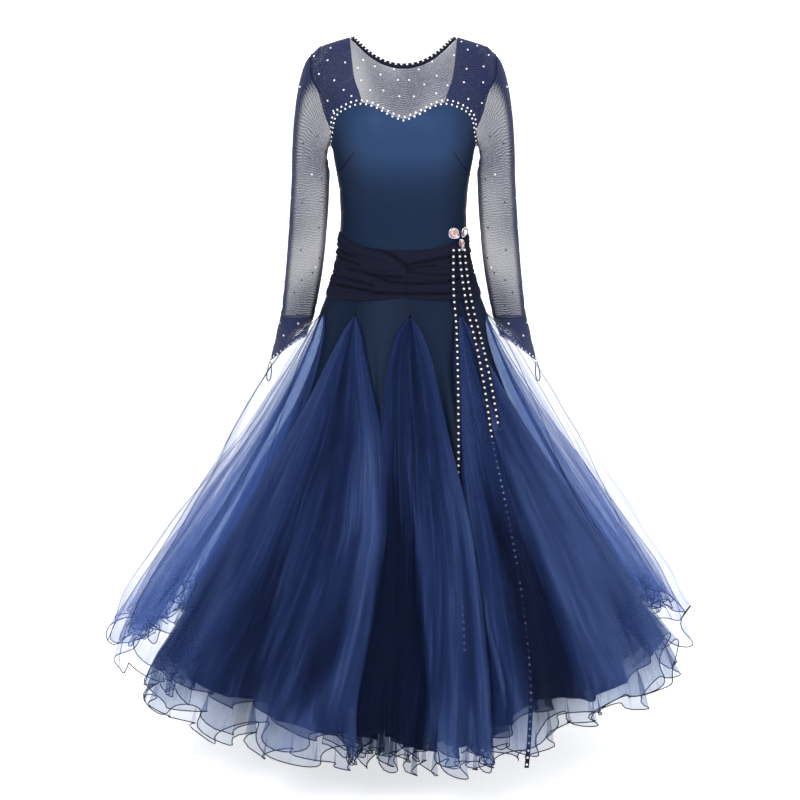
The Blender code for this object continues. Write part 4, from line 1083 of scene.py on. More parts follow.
def satin_stretch_and_light(points, behind):
    """Lightness of the satin: partly how far it is stretched, partly painted light, with a painted
    highlight over the bust and painted shade towards the sides.
    """
    across, height = points[..., 0], points[..., 2]
    half_width = smooth_table(SECTIONS, height, 1)
    # painted shade towards the sides of the body
    middle = 1 - ease((np.abs(across) / half_width - 0.45) / 0.55)
    more = sum((back if behind else front) * np.exp(-(((height - at) / tall) ** 2))
               for at, tall, front, back in STRETCHED_AND_LIT)
    return 0.10 + 0.17 * middle + more * (0.25 + 0.75 * middle)


class MakeBodice(bpy.types.Operator):
    """Satin front with its darts and satin back"""

    bl_idname = "dress.bodice"
    bl_label = "Bodice"

    def execute(self, context):
        for name, behind, above in (
            ("bodice_front", False, ["yoke_front", "strap_left", "strap_right"]),
            ("bodice_back", True, ["yoke_back", "strap_left", "strap_right"]),
        ):
            grid, stretch = bodice_sheet(behind)
            # the stretch mark also carries painted light: a highlight over the bust, shade at the
            # sides
            piece = add_grid(name + "_cloth", grid, "satin", marks={"stretch": stretch})
            keep_cloth(piece, grid, [name])
        start_x, start_z, end_x, end_z = DARTS[0][:4]
        share = np.linspace(0.0, 1.0, DART_STEPS)
        across = start_x + (end_x - start_x) * share
        height = start_z + (end_z - start_z) * share
        lines = [front_line(side * across, height, DART_OUT) for side in (-1.0, 1.0)]
        keep_piece(add_cord("dart_seams", lines, DART_CORD))
        return {"FINISHED"}


def front_line(across, height, out):
    """Points on the front of the body form at places across and down."""
    angle = angle_at(across, height)
    return body_points(angle, height) + body_normals(angle, height) * out


# ---------------------------------------------------------------- yoke, straps and binding


def yoke_sheet(behind, steps, rows):
    """Points and normals of a yoke, from the bodice's edge up to the neck and shoulders."""
    table, drop = (BACK_EDGE, NECK_DROP_BACK) if behind else (SWEETHEART, NECK_DROP_FRONT)
    low_angle = step_angle(steps)
    low = edge_height(table, low_angle) + SEAM_GAP
    across = np.sign(steps) * np.interp(np.abs(steps), (0, 1, 2), (0, NECK_HALF, SHOULDER_HALF))
    neck = -drop * (1.0 - np.minimum(np.abs(across) / NECK_HALF, 1.0) ** NECK_ROUND)
    over = np.abs(steps) > 0.999
    high = np.where(over, shoulder_height(across), neck)
    high_angle = angle_at(across, high)
    share = np.linspace(0.0, 1.0, rows + 1)[:, None]
    angle = turned(low_angle * (1 - share) + high_angle * share, behind)
    height = low * (1 - share) + high * share
    points, normals = body_points(angle, height), body_normals(angle, height)
    points[-1, over, 1] = (1.0 if behind else -1.0) * SEAM_GAP / 2
    seam = unit(stacked(SHOULDER_LEAN * np.sign(steps), 0.0, 1.0))
    normals[-1, over] = seam[over]
    return points, normals


def yoke_steps():
    middle, strap = np.linspace(-1, 1, YOKE_COLUMNS), np.linspace(1, 2, STRAP_COLUMNS)[1:]
    return np.concatenate([-strap[::-1], middle, strap])


def strap_sheet(side):
    steps = side * np.linspace(1, 2, STRAP_COLUMNS)
    front, front_normals = yoke_sheet(False, steps, STRAP_ROWS)
    back, back_normals = yoke_sheet(True, steps, STRAP_ROWS)
    points = np.concatenate([front[:-1], [(front[-1] + back[-1]) / 2], back[-2::-1]])
    normals = np.concatenate([front_normals, back_normals[-2::-1]])
    return points + normals * STRAP_OUT


def neck_line():
    """The upper edge of the yokes round the neck: points, directions up the band, normals."""
    steps = np.linspace(-1, 1, NECK_COLUMNS)
    parts = []
    for behind in (False, True):
        points, normals = yoke_sheet(behind, steps, STRAP_ROWS)
        facing = unit(normals[-1] + (0.0, BINDING_TURN if behind else -BINDING_TURN, 0.0))
        order = slice(None, None, -1) if behind else slice(None)
        parts.append([part[order][:-1] for part in (points[-1], facing)])
    line, normals = (np.concatenate(pair) for pair in zip(*parts))
    for _ in range(4):
        normals = unit(normals + np.roll(normals, 1, axis=0) + np.roll(normals, -1, axis=0))
    along = unit(np.roll(line, -1, axis=0) - np.roll(line, 1, axis=0))
    climb = unit(np.cross(along, normals))
    inward = np.sum(climb * (line * (-1.0, 0.0, 0.0) + (0.0, 0.0, 0.05)), axis=1, keepdims=True)
    return line, np.where(inward < 0, -climb, climb), normals


def binding_sheet(line, climb, normals):
    """The band folded over the neck edge, from its front lower edge to its back one."""
    turns = np.linspace(-0.30, 1.30, 17) * np.pi
    centre = line + climb * (SEAM_GAP + BINDING_WIDE / 2) - normals * 0.0006
    up = BINDING_WIDE / 2 * np.sign(np.sin(turns)) * np.abs(np.sin(turns)) ** 0.6
    out = BINDING_THICK / 2 * np.sign(np.cos(turns)) * np.abs(np.cos(turns)) ** 0.6
    return (centre[None] + climb[None] * up[:, None, None] + normals[None] * out[:, None, None])


class MakeYoke(bpy.types.Operator):
    """Sheer yokes, doubled strap panels and the band round the neck"""

    bl_idname = "dress.yoke"
    bl_label = "Yoke"

    def execute(self, context):
        for name, behind in (("yoke_front", False), ("yoke_back", True)):
            grid = yoke_sheet(behind, yoke_steps(), YOKE_ROWS)[0]
            thick = np.full(grid.shape[:2], YOKE_THICK)
            piece = add_grid(name + "_cloth", grid, "mesh", marks={"thick": thick})
            keep_cloth(piece, grid, [name])
        for name, side in (("strap_left", -1.0), ("strap_right", 1.0)):
            grid = strap_sheet(side)
            piece = add_grid(name + "_cloth", grid, "double_mesh",
                             inside=grid.mean(axis=(0, 1)) * (0.6, 1.0, 1.0) - (0, 0, 0.08),
                             marks={"thick": np.zeros(grid.shape[:2])})
            keep_cloth(piece, grid,
                       [name])
        line, climb, normals = neck_line()
        grid = binding_sheet(line, climb, normals)
        band = add_grid("neck_binding_cloth", grid, "cord", closed=True,
                        inside=grid.mean(axis=0, keepdims=True))
        keep_cloth(band, grid,
                   ["neck_binding"], closed=True)
        return {"FINISHED"}


# ---------------------------------------------------------------- sleeves and cuffs

def armhole_loop():
    """Points and normals of the body round the right armhole."""
    parts = []
    for behind in (False, True):
        table = BACK_EDGE if behind else SWEETHEART
        points, normals = yoke_sheet(behind, np.array([2.0]), YOKE_STEPS)
        side = step_angle(np.linspace(2, 3, SIDE_STEPS + 1)[1:])
        place = turned(side, behind), edge_height(table, side) + SEAM_GAP
        points = np.concatenate([points[::-1, 0], body_points(*place)])
        normals = np.concatenate([normals[::-1, 0], body_normals(*place)])
        keep = slice(None, 0, -1) if behind else slice(0, -1)
        parts.append((points[keep], normals[keep]))
    points, normals = (np.concatenate(pair) for pair in zip(*parts))
    points[0, 1] = 0.0
    return points, normals


def arm_rings(heights, turns):
    """Points of the right sleeve at heights and turns round the arm."""
    rows = sorted(ARM)
    across, back, half_width, half_depth = (smooth_table(rows, heights, i) for i in (1, 2, 3, 4))
    return stacked(across + half_width * np.cos(turns), back - half_depth * np.sin(turns), heights)


def sleeve_sheet():
    """The right sleeve from the armhole to the cuff."""
    seam, normals = armhole_loop()
    start_z = ARM[0][0]
    turns = ARM_TURNS
    level = arm_rings(np.full(ARM_COLUMNS, start_z), turns)
    along = unit(np.roll(seam, -1, axis=0) - np.roll(seam, 1, axis=0))
    away = unit(np.cross(along, normals))
    outside = np.sum(away * (seam - seam.mean(axis=0)), axis=1, keepdims=True) < 0
    first = seam + np.where(outside, away, -away) * SEAM_GAP
    out = unit(stacked(0.62 + 0.25 * np.cos(turns), -0.22 * np.sin(turns),
                       -0.38 - 0.10 * np.cos(turns)))
    reach = (0.030 - 0.014 * (1 - np.cos(turns)) / 2)[:, None]
    second = first + out * reach
    third = level + stacked(0.0, 0.0, np.abs(first[:, 2] - start_z) * 0.45)
    share = np.linspace(0.0, 1.0, SLEEVE_TOP_ROWS)[:-1, None, None]
    rest = 1 - share
    upper = (rest**3 * first + 3 * rest**2 * share * second + 3 * rest * share**2 * third
             + share**3 * level)
    heights = np.linspace(start_z, CUFF_TOP_Z, SLEEVE_ROWS)[:, None]
    grid = np.concatenate([upper, arm_rings(heights, turns[None, :])])
    middle = grid.mean(axis=1, keepdims=True)
    outward = unit((grid - middle) * (1.0, 1.0, 0.3))
    for height, centre, slope, tall, wide, deep in ARM_CREASES:
        around = (np.degrees(turns) - centre + 180.0) % 360.0 - 180.0
        level = height + slope * np.radians(around) * 0.04
        fade = np.exp(-((grid[..., 2] - level) / tall) ** 2 - (around / wide) ** 2)
        grid = grid - outward * (deep * fade)[..., None]
    return grid


def cuff_sheet():
    """The right cuff, which runs down to a point over the hand."""
    turns = ARM_TURNS
    low = CUFF_INNER_Z - CUFF_POINT * ((1 + np.cos(turns)) / 2) ** 1.3
    top = CUFF_TOP_Z - SEAM_GAP
    share = np.linspace(0.0, 1.0, CUFF_ROWS)[:, None]
    heights = top + (low - top) * share
    grid = arm_rings(heights, turns[None, :])
    middle = grid.mean(axis=1, keepdims=True)
    outward = unit((grid - middle) * (1.0, 1.0, 0.0))
    twist = np.sin(3 * turns[None, :] + 70.0 * heights) + 0.6 * np.sin(5 * turns[None, :] + 1.3)
    ruck = 0.0011 * twist * np.sin(np.pi * share)
    return grid - outward * np.maximum(ruck, 0.0)[..., None]


def mirrored(points):
    return points * (-1.0, 1.0, 1.0)


def sleeve_density(grid):
    """The mesh is denser over the shoulder, at the wrist and along the arm's two sides."""
    height, facing = grid[..., 2], np.cos(ARM_TURNS)
    return sum(more * ease((at - start) / span) for at, (start, span, more) in (
        (height, SHOULDER_DENSE), (-height, WRIST_DENSE),
        (facing, OUTSIDE_DENSE), (-facing, INSIDE_DENSE)))

class MakeSleeves(bpy.types.Operator):
    """Sheer sleeves, pointed cuffs and finger loops"""

    bl_idname = "dress.sleeves"
    bl_label = "Sleeves"

    def execute(self, context):
        sleeve, cuff = sleeve_sheet(), cuff_sheet()
        for word, side in (("right", 1.0), ("left", -1.0)):
            arm = sleeve if side > 0 else mirrored(sleeve)
            hand = cuff if side > 0 else mirrored(cuff)
            piece = add_grid(f"sleeve_{word}_cloth", arm, "mesh", closed=True,
                             inside=arm.mean(axis=1, keepdims=True),
                             marks={"thick": sleeve_density(arm)})
            keep_cloth(piece, arm,
                       [f"sleeve_{word}"], closed=True)
            piece = add_grid(f"cuff_{word}_cloth", hand, "double_mesh", closed=True,
                             inside=hand.mean(axis=1, keepdims=True),
                             marks={"thick": np.full(hand.shape[:2], CUFF_THICK)})
            keep_cloth(piece, hand,
                       [f"cuff_{word}"], closed=True)
            hole, outward = armhole_loop()
            hole = (hole + outward * ARMHOLE_CORD / 2) * (side, 1.0, 1.0)
            keep_piece(add_cord(f"armhole_{word}_seam", [hole], ARMHOLE_CORD, closed=True))
            seams = add_cord(f"cuff_{word}_seams", [hand[0], hand[-1]], sizes().seam_cord,
                             closed=True)
            keep_piece(seams)
            loop = add_cord(f"finger_loop_{word}_cord", [finger_loop(hand[-1, 0], side)],
                            sizes().loop_cord, sides=8)
            keep_piece(loop, [f"finger_loop_{word}"])
        return {"FINISHED"}


def finger_loop(point, side):
    """A loop of elastic cord that hangs from the point of the cuff."""
    turn = np.linspace(0.04, 0.96, 41) * 2 * np.pi
    cord = sizes().loop_cord
    fall = (1 - np.cos(turn)) / 2 * (LOOP_LONG - cord)
    wide = (LOOP_WIDE - cord) / 2 * np.sin(turn) * (0.45 + 0.55 * fall / LOOP_LONG)
    return stacked(point[0] + side * (wide + fall * 0.10), point[1] + 0 * fall,
                   point[2] - SEAM_GAP - cord / 2 - fall)


# ---------------------------------------------------------------- sash

def sash_sheet(behind):
    """The ruched sash, which is pinched at the centre front."""
    angle = step_angle(np.linspace(-3, 3, SASH_COLUMNS))[None, :]
    share = np.linspace(0.0, 1.0, SASH_ROWS)[:, None]
    local = np.abs(angle)
    top, low = (smooth_table(SASH_EDGES, local, i) for i in (1, 2))
    if behind:
        top = SASH_EDGES[-1][1] - SASH_BACK_DIP * np.cos(np.radians(local))
        low = SASH_EDGES[-1][2] + 0 * local
    sag = SASH_SAG * np.sin(np.radians(2 * local)) * np.sin(np.pi * share)
    height = top + (low - top) * share - sag
    pinch = 1.0 if behind else 1.0 - 0.75 * np.exp(-((angle / SASH_PINCH) ** 2))
    gather = 0.4 + 0.6 * np.minimum(1.0, (90.0 - local) / SASH_PINCH)
    wave = 0.5 - 0.5 * np.cos(2 * np.pi * SASH_FOLDS * share)
    out = SASH_CLEAR + SASH_WALL + SASH_FOLD_HEIGHT * (0.55 + 0.45 * wave) * pinch * gather
    # how deep the folds are, which paints shade into them in the jersey
    folded = np.zeros(out.shape)
    for row in RUCHES:
        stations, (wide, deep) = row[:-2], row[-2:]
        deep = deep if behind else deep * RUCH_SHARE_FRONT
        flip = -1.0 if behind else 1.0
        level = np.interp(angle * flip, SASH_STATIONS, stations)
        level = level + 0.006 * np.sin(np.radians(5 * angle) + 40 * stations[0])
        fade = 0.75 + 0.25 * np.sin(np.radians(3 * angle) + 23 * stations[2])
        trough = np.exp(-(((share - level) / wide) ** 2))
        ridge = np.exp(-(((share - level - 2 * wide) / (1.6 * wide)) ** 2))
        fade = deep * fade * (0.45 + 0.55 * pinch)
        out = out - fade * (trough - 0.45 * ridge)
        folded += fade * trough
    if not behind:
        places = body_points(angle + 0 * height, height)[..., [0, 2]]
        crease = line_depth(places, SASH_CREASES)
        roll = line_depth(places - (0.0, 0.0052), SASH_CREASES)
        out = out - crease + 0.5 * roll
        folded += 1.3 * crease
    out = np.maximum(out, SASH_CLEAR)
    edge = np.minimum(share, 1 - share) / 0.03
    out = out * np.clip(0.35 + 0.65 * edge, 0.0, 1.0)
    place = turned(angle, behind) + 0 * height
    points = body_points(place, height) + body_normals(place, height) * out[..., None]
    return points, np.clip(folded / 0.004, 0.0, 1.0)


def line_depth(places, creases):
    """How deep lines of creases are at places across and up."""
    depth = np.zeros(places.shape[:-1])
    for line, wide, deep in creases:
        nearest = np.ones(depth.shape)
        for start, end in zip(np.array(line), np.array(line[1:])):
            run = end - start
            share = np.clip((places - start) @ run / (run @ run), 0.0, 1.0)
            away = np.linalg.norm(places - start - share[..., None] * run, axis=-1)
            nearest = np.minimum(nearest, away)
        depth += deep * np.exp(-((nearest / wide) ** 2))
    return depth


class MakeSash(bpy.types.Operator):
    """Ruched jersey sash"""

    bl_idname = "dress.sash"
    bl_label = "Sash"

    def execute(self, context):
        for name, behind, under in (
            ("sash_front", False, "bodice_front"), ("sash_back", True, "bodice_back"),
        ):
            grid, folded = sash_sheet(behind)
            piece = add_grid(name + "_cloth", grid, "jersey", marks={"folded": folded})
            keep_cloth(piece, grid, [name])
        return {"FINISHED"}


# ---------------------------------------------------------------- skirt

def godet_value(angle, column):
    """A column of GODET_ROWS at any angle, eased between the godets' centres."""
    place = ((angle - GODET_TURN) / GODET_PITCH) % GODETS
    here = np.floor(place).astype(int) % GODETS
    blend = 0.5 - 0.5 * np.cos(np.pi * (place - np.floor(place)))
    values = np.array(GODET_ROWS)[:, column]
    return values[here] * (1 - blend) + values[(here + 1) % GODETS] * blend


def skirt_height(angle, share):
    return TIP_Z + (godet_value(angle, 0) - TIP_Z) * share


def gore_turn(index, share):
    return GODET_ROWS[index % GODETS][5] * share**1.3


def swing_of(gore, share):
    return np.interp(share, SWING_SHARES, SWINGS.get(gore, (0.0,) * len(SWING_SHARES)))


def skirt_frame(angle, height):
    """Points of the body form with the level directions round it and out of it."""
    points = body_points(angle, height)
    round_body = body_points(angle + TURN_STEP, height) - body_points(angle - TURN_STEP, height)
    round_body = unit(round_body * (1.0, 1.0, 0.0))
    level = stacked(round_body[..., 1], -round_body[..., 0], 0.0 * round_body[..., 0])
    return points, round_body, level


def gore_sheet(index):
    share = np.linspace(0.0, GORE_LAST, GORE_ROWS)[:, None]
    half = np.where(share <= 0.0, 0.0, np.interp(share, *np.array(
        [(0.0, 0.0)] + [row[:2] for row in GODET_SHAPE[1:]]).T))
    step = np.linspace(0.0, 1.0, GORE_COLUMNS)[None, :]
    angle = GODET_TURN + GODET_PITCH * index + gore_turn(index, share)
    angle = angle + swing_of(index + 1, share) * ease(share / 0.1)
    angle = angle + half + (GODET_PITCH - 2 * half) * step
    points, _, out = skirt_frame(angle, skirt_height(angle, share))
    hollow = GORE_HOLLOW * share * np.sin(np.pi * step)
    fold = 0.003 * np.sin(2 * np.pi * step * 1.5 + index) * np.sin(np.pi * step) * ease(share * 3)
    points = points - out * (hollow - fold)[..., None]
    top_angle = GODET_TURN + GODET_PITCH * (index + step)
    top = body_points(top_angle, np.full_like(top_angle, BODICE_HEM_Z - SEAM_GAP))
    between = [top * (1 - part) + points[:1] * part for part in (0.0, 0.25, 0.5, 0.75)]
    return np.concatenate([*between, points])


class MakeGores(bpy.types.Operator):
    """Satin gores that hang from the hip seam between the godets"""

    bl_idname = "dress.gores"
    bl_label = "Gores"

    def execute(self, context):
        for index in range(GODETS):
            name = f"gore_{index + 1:02d}"
            grid = gore_sheet(index)
            step = np.linspace(0.0, np.pi, grid.shape[1])[None, :]
            # lighter down the middle of the gore, painted shade at its edges beside the godets
            stretch = GORE_PAINTED_LIGHT * np.sin(step) + 0.0 * grid[..., 0]
            piece = add_grid(name + "_cloth", grid, "satin", marks={"stretch": stretch})
            keep_cloth(piece, grid, [name])
        return {"FINISHED"}


def rippled(start, table, phases, scale=1.0, down=0.0):
    """A value with waves across and down added to it."""
    across, turn, hem_turn = phases
    for size, waves, with_folds, with_hem, waves_down in table:
        phase = waves * across + with_folds * turn + with_hem * hem_turn + waves_down * down
        start = start + size * scale * np.sin(phase)
    return start

def blended(before, after, side):
    """From one value at a godet's first edge to another at its last edge."""
    return (before * (1 - side) + after * (1 + side)) / 2

def godet_creases(index, number, across, share):
    """Ridges and troughs down a godet's layer, each with a steep side and a gentle one, and the
    painted highlight along each ridge with the painted shade beside it."""
    like, side = CREASES_LIKE.get(index + 1, (index + 1, 1))
    height = 0.0 * across * share
    line = 0.0 * height
    for place, (top, low, start, width, rise, lean) in enumerate(FRONT_CREASES[like]):
        drift = 0.035 * math.sin(2.3 * place + 1.9 * number + index)
        middle = side * (top + (low - top) * share) + drift * share
        away = across - middle
        wide = width * (1 + CREASE_LEAN * lean * side * np.sign(away))
        wide = np.maximum(wide * (CREASE_FIRST + CREASE_SPREAD * number), CREASE_LEAST)
        run = ease((share - start - CREASE_LATER * number) / CREASE_RUN)
        height = height + rise * run * np.exp(-((away / wide) ** 2))
        steep = away + SHADE_AWAY * np.sign(lean) * side
        shape = np.exp(-((away / LINE_WIDE) ** 2))
        shape = shape - SHADE_DEEP * np.exp(-((steep / SHADE_WIDE) ** 2))
        line = line + abs(lean) * run * shape
    return height, line



def godet_sheet(index, layer):
    """Points of one organza layer, with marks for its painted light and shade and how near the hem
    it is.
    """
    (reach, set_out, round_scale, billow_share, side_scale, hem_turn, waves, deep_wave,
     rise) = LAYERS[layer]
    number = list(LAYERS).index(layer)
    _, depth_scale, billow, folds, turn, _, _, wave_share = GODET_ROWS[index]
    across = np.linspace(-1.0, 1.0, GODET_COLUMNS)[None, :]
    step = godet_value(GODET_TURN + GODET_PITCH * (index + across / 2), 6)
    down = LAYER_SHARES[:, None]
    share = GODET_START + (1 - (1 - reach) * step - GODET_START) * down
    half, round_turn, deep, fold = (smooth_table(GODET_SHAPE, share, i) for i in (1, 2, 3, 4))
    swing = np.radians(round_turn)
    place = swing * across
    side = np.sin(place) / np.sin(swing)
    gores = index - 1, index
    closing = [read_table(CLOSING, share, 2 if gore % GODETS == FRONT_GORE else 1)
               for gore in gores]
    turns = [gore_turn(gore, share) + swing_of(gore % GODETS + 1, share) for gore in gores]
    half = half + blended(*closing, side) * np.sin(swing)
    angle = GODET_TURN + GODET_PITCH * index + half * side + blended(*turns, side)
    height = skirt_height(angle, share)
    points, round_body, level = skirt_frame(angle, height)
    lift = (np.cos(place) - np.cos(swing)) / (1 - np.cos(swing))
    at_side = index + 1 in SIDE_GODETS
    flat = side_scale + (1 - side_scale) * ease(share - 0.50) if at_side else 1.0
    depth = deep * depth_scale * (round_scale * flat)
    depth = depth + billow * billow_share * read_table(BILLOW, height, 1)
    wide = np.radians(half) * np.linalg.norm(points[..., :2], axis=-1) / np.sin(swing)
    dome = unit(stacked(np.sin(place) / np.maximum(wide, 1e-3),
                        np.cos(place) / np.maximum(depth, 1e-3)))
    window = (1 - np.abs(across) ** 2.5) ** 1.5
    hem = ((down - HEM_FROM) / (1 - HEM_FROM)).clip(0.0, 1.0) ** 1.6
    phases = across, turn, hem_turn
    waves = waves * wave_share
    spin = np.pi * waves * rippled(across, WANDERS, phases) + turn + hem_turn
    swell = rippled(SWELL_MEAN, SWELLS, phases) * hem
    arc = 1.45 * swing * wide
    curl = 0.12 * 2 * arc / waves * np.sin(2 * spin + 1.1 * np.sin(0.37 * spin + turn)) * hem
    ruffle = deep_wave * swell * np.sin(spin)
    crease, crease_highlight = godet_creases(index, number, across, share)
    crumple = np.sin(23 * share + 6 * across + turn) * np.sin(11 * across - 8 * share + hem_turn)
    wrinkle = rippled(0.0, WRINKLES, phases, share, share) + CRUMPLE * share * crumple
    wave = (fold * np.sin(np.pi * folds * across + turn) + crease) * flat + wrinkle
    spread = ease((share - 0.30) / 0.30) * (1 - across**4)
    out = 2 * SEAM_GAP + depth * lift + wave * dome[..., 1] * window + set_out * spread
    out = out + ruffle * dome[..., 1] * np.sqrt(window) - (SIDE_DRAWN * hem if at_side else 0.0)
    moved = wave * dome[..., 0] * window**2 / 2 + ruffle * dome[..., 0] / 2 * window
    moved = moved - curl * dome[..., 1] * window
    up = rise * swell * np.cos(spin + 0.5) * np.sqrt(window) + 0.3 * rise * hem
    up = rippled(up, HEM_RISES, phases, hem)
    for place in (0.72 * math.sin(3.1 * index + 1.7 * number),
                  0.84 * math.sin(5.3 * index + 2.9 * number + 1.0)):
        up = up - HEM_TIP * hem * np.exp(-np.abs(across - place) / HEM_TIP_WIDE) * np.sqrt(window)
    grid = points + level * out[..., None] + round_body * moved[..., None]
    grid = grid + stacked(0.0, 0.0, up)
    for start, room in (FRONT_LIMIT, BACK_LIMIT):
        past = np.maximum(grid[..., 1] * np.sign(start) - abs(start), 0.0)
        held = (room * np.tanh(past / room) - past) * np.sign(start)
        grid = grid + stacked(0.0, held, 0.0)
    # painted light and shade: lighter on crests, ridges, folds, ruffles, near the hem and at the
    # sides; darker in troughs, low down and at the seams
    painted_light = TONE_MEAN + crease / CREASE_TONE + wrinkle / WRINKLE_TONE
    painted_light = painted_light + FOLD_TONE * np.sin(np.pi * folds * across + turn)
    painted_light = painted_light + RUFFLE_TONE * swell * np.sin(spin) + HEM_TONE * hem + CREASE_HIGHLIGHT * crease_highlight
    sideways = np.abs(np.sin(np.radians(angle)))
    sideways = 1.0 if at_side else ease((sideways - SIDEWAYS_FROM) / SIDEWAYS_SPAN)
    lower = ease((share - LOW_FROM) / LOW_SPAN)
    painted_light = painted_light + SIDE_LIGHT * sideways - LOW_SHADE * (1 - sideways) * lower
    painted_light = painted_light * (EDGE_SHADE + (1 - EDGE_SHADE) * ease((1 - np.abs(across)) / EDGE_SPAN))
    thin = down + (SIDE_THIN if at_side else 0.0) * ease((down - 0.5) / 0.3)
    marks = {"painted_light": painted_light, "down": thin + 0 * across, "across": across + 0 * down}
    return grid, marks


def ribbon_lines():
    """Each ribbon's middle, below the height where the organza falls over it."""
    lines = []
    for name, limit in HIDDEN_BELOW.items():
        line = ribbon_middle(name)[0]
        lines.append(line[line[:, 2] < limit])
    return np.concatenate(lines)


def lifted_over(grid, line, gap):
    """The sheet moved forward wherever it would lie behind the ribbons."""
    away = grid[:, :, None, [0, 2]] - line[None, None][..., [0, 2]]
    distance = np.linalg.norm(away, axis=-1)
    near = distance.argmin(axis=-1)
    short = np.take_along_axis(distance, near[..., None], axis=-1)[..., 0]
    need = grid[..., 1] - (line[near, 1] - gap)
    need = np.where((need > 0) & (need < 0.06), need, 0.0)
    moved = need * np.exp(-((short / 0.024) ** 4))
    return grid - stacked(0.0, moved, 0.0)


class MakeGodets(bpy.types.Operator):
    """Five organza layers for each godet, with corded hems and seams"""

    bl_idname = "dress.godets"
    bl_label = "Godets"

    def execute(self, context):
        ribbons = ribbon_lines()
        for index in range(GODETS):
            name = f"godet_{index + 1:02d}"
            at_side = index + 1 in SIDE_GODETS
            hems = []
            for layer in LAYERS:
                grid, marks = godet_sheet(index, layer)
                if layer in RIBBON_GAPS and index < 2:
                    grid = lifted_over(grid, ribbons, RIBBON_GAPS[layer])
                finish = SIDE_FINISHES[layer] if at_side else "organza_" + layer
                piece = add_grid(f"{name}_{layer}", grid, finish, marks=marks)
                nodes = [name] if layer == "outer" else []
                keep_cloth(piece, grid, nodes)
                hems.append(grid[-1])
            # the last layer is the outer one, which shows the seams
            places = (-1.0, 1.0, *(SIDE_SEAMS if at_side else ()))
            seams = [grid[:, round((place + 1) / 2 * (GODET_COLUMNS - 1))] for place in places]
            keep_piece(add_cord(name + "_hems", hems, sizes().hem_cord))
            keep_piece(add_cord(name + "_seams", seams, sizes().seam_cord))
        return {"FINISHED"}

# ---------------------------------------------------------------- ribbons and brooch

def mesh_points(mesh):
    return np.array([vertex.co[:] for vertex in mesh.vertices])

def ribbon_middle(name):
    """The middle of a packed ribbon's front face, down from the brooch, and its directions."""
    low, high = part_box(name)
    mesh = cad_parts[name].data
    tree = BVHTree.FromPolygons([vertex.co.copy() for vertex in mesh.vertices],
                                [list(face.vertices) for face in mesh.polygons])
    places = mesh_points(mesh)
    line = []
    for height in np.arange(high.z - RIBBON_STEP, low.z, -RIBBON_STEP):
        near = places[np.abs(places[:, 2] - height) < RIBBON_NEAR]
        across = np.interp(height, *row_middles(near))
        hit = tree.ray_cast(Vector((across, -2.0, height)), Vector((0.0, 1.0, 0.0)))
        if hit[0] is not None:
            line.append([*hit[0], *hit[1]])
    line = np.array(line)
    return line[:, :3], line[:, 3:]

def row_middles(places):
    """Heights and middles across of the rows of a ribbon's points, from the lowest up."""
    heights = np.unique(places[:, 2].round(5))
    middles = [places[np.abs(places[:, 2] - height) < 2e-5, 0].mean() for height in heights]
    return heights, middles


class MakeRibbons(bpy.types.Operator):
    """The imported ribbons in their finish, each with a row of stones"""

    bl_idname = "dress.ribbons"
    bl_label = "Ribbons"

    def execute(self, context):
        for name in ("ribbon_1", "ribbon_2", "ribbon_3"):
            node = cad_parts[name]
            for slot in node.material_slots:
                slot.material = finish_named("cord")
            line, normals = ribbon_middle(name)
            places = spaced(line, sizes().ribbon_pitch, 0.003)
            add_stones(name + "_stones", at_places(line, places), at_places(normals, places), 1.05)
        return {"FINISHED"}


# facets of a large stone: share of its width, share of its depth, half a turn of the corners
CUT = ((0.94, 0.0, 0.0), (1.0, 0.20, 0.0), (0.88, 0.50, 0.5), (0.66, 0.82, 0.0), (0.36, 1.0, 0.5))
STONE_SIDES = 10
# name, way to its tip across and up, width, length beyond the middle on the tip's side
LARGE_STONES = (
    ("brooch_stone_left", (0.80, -0.60), 1.00, 1.22),
    ("brooch_stone_right", (-0.42, -0.91), 0.72, 1.20),
    ("brooch_stone_drop", (0.13, -0.99), 0.90, 1.45),
)


def stone_outline(turn, wide, tip):
    """Share across and along of a stone that is round at one end and pointed at the other."""
    along = np.cos(turn) * np.where(np.cos(turn) > 0, tip, 1.0)
    across = np.sin(turn) * wide * (1 - 0.45 * np.clip(np.cos(turn), 0.0, 1.0) ** 1.5)
    return across[:, None], along[:, None]


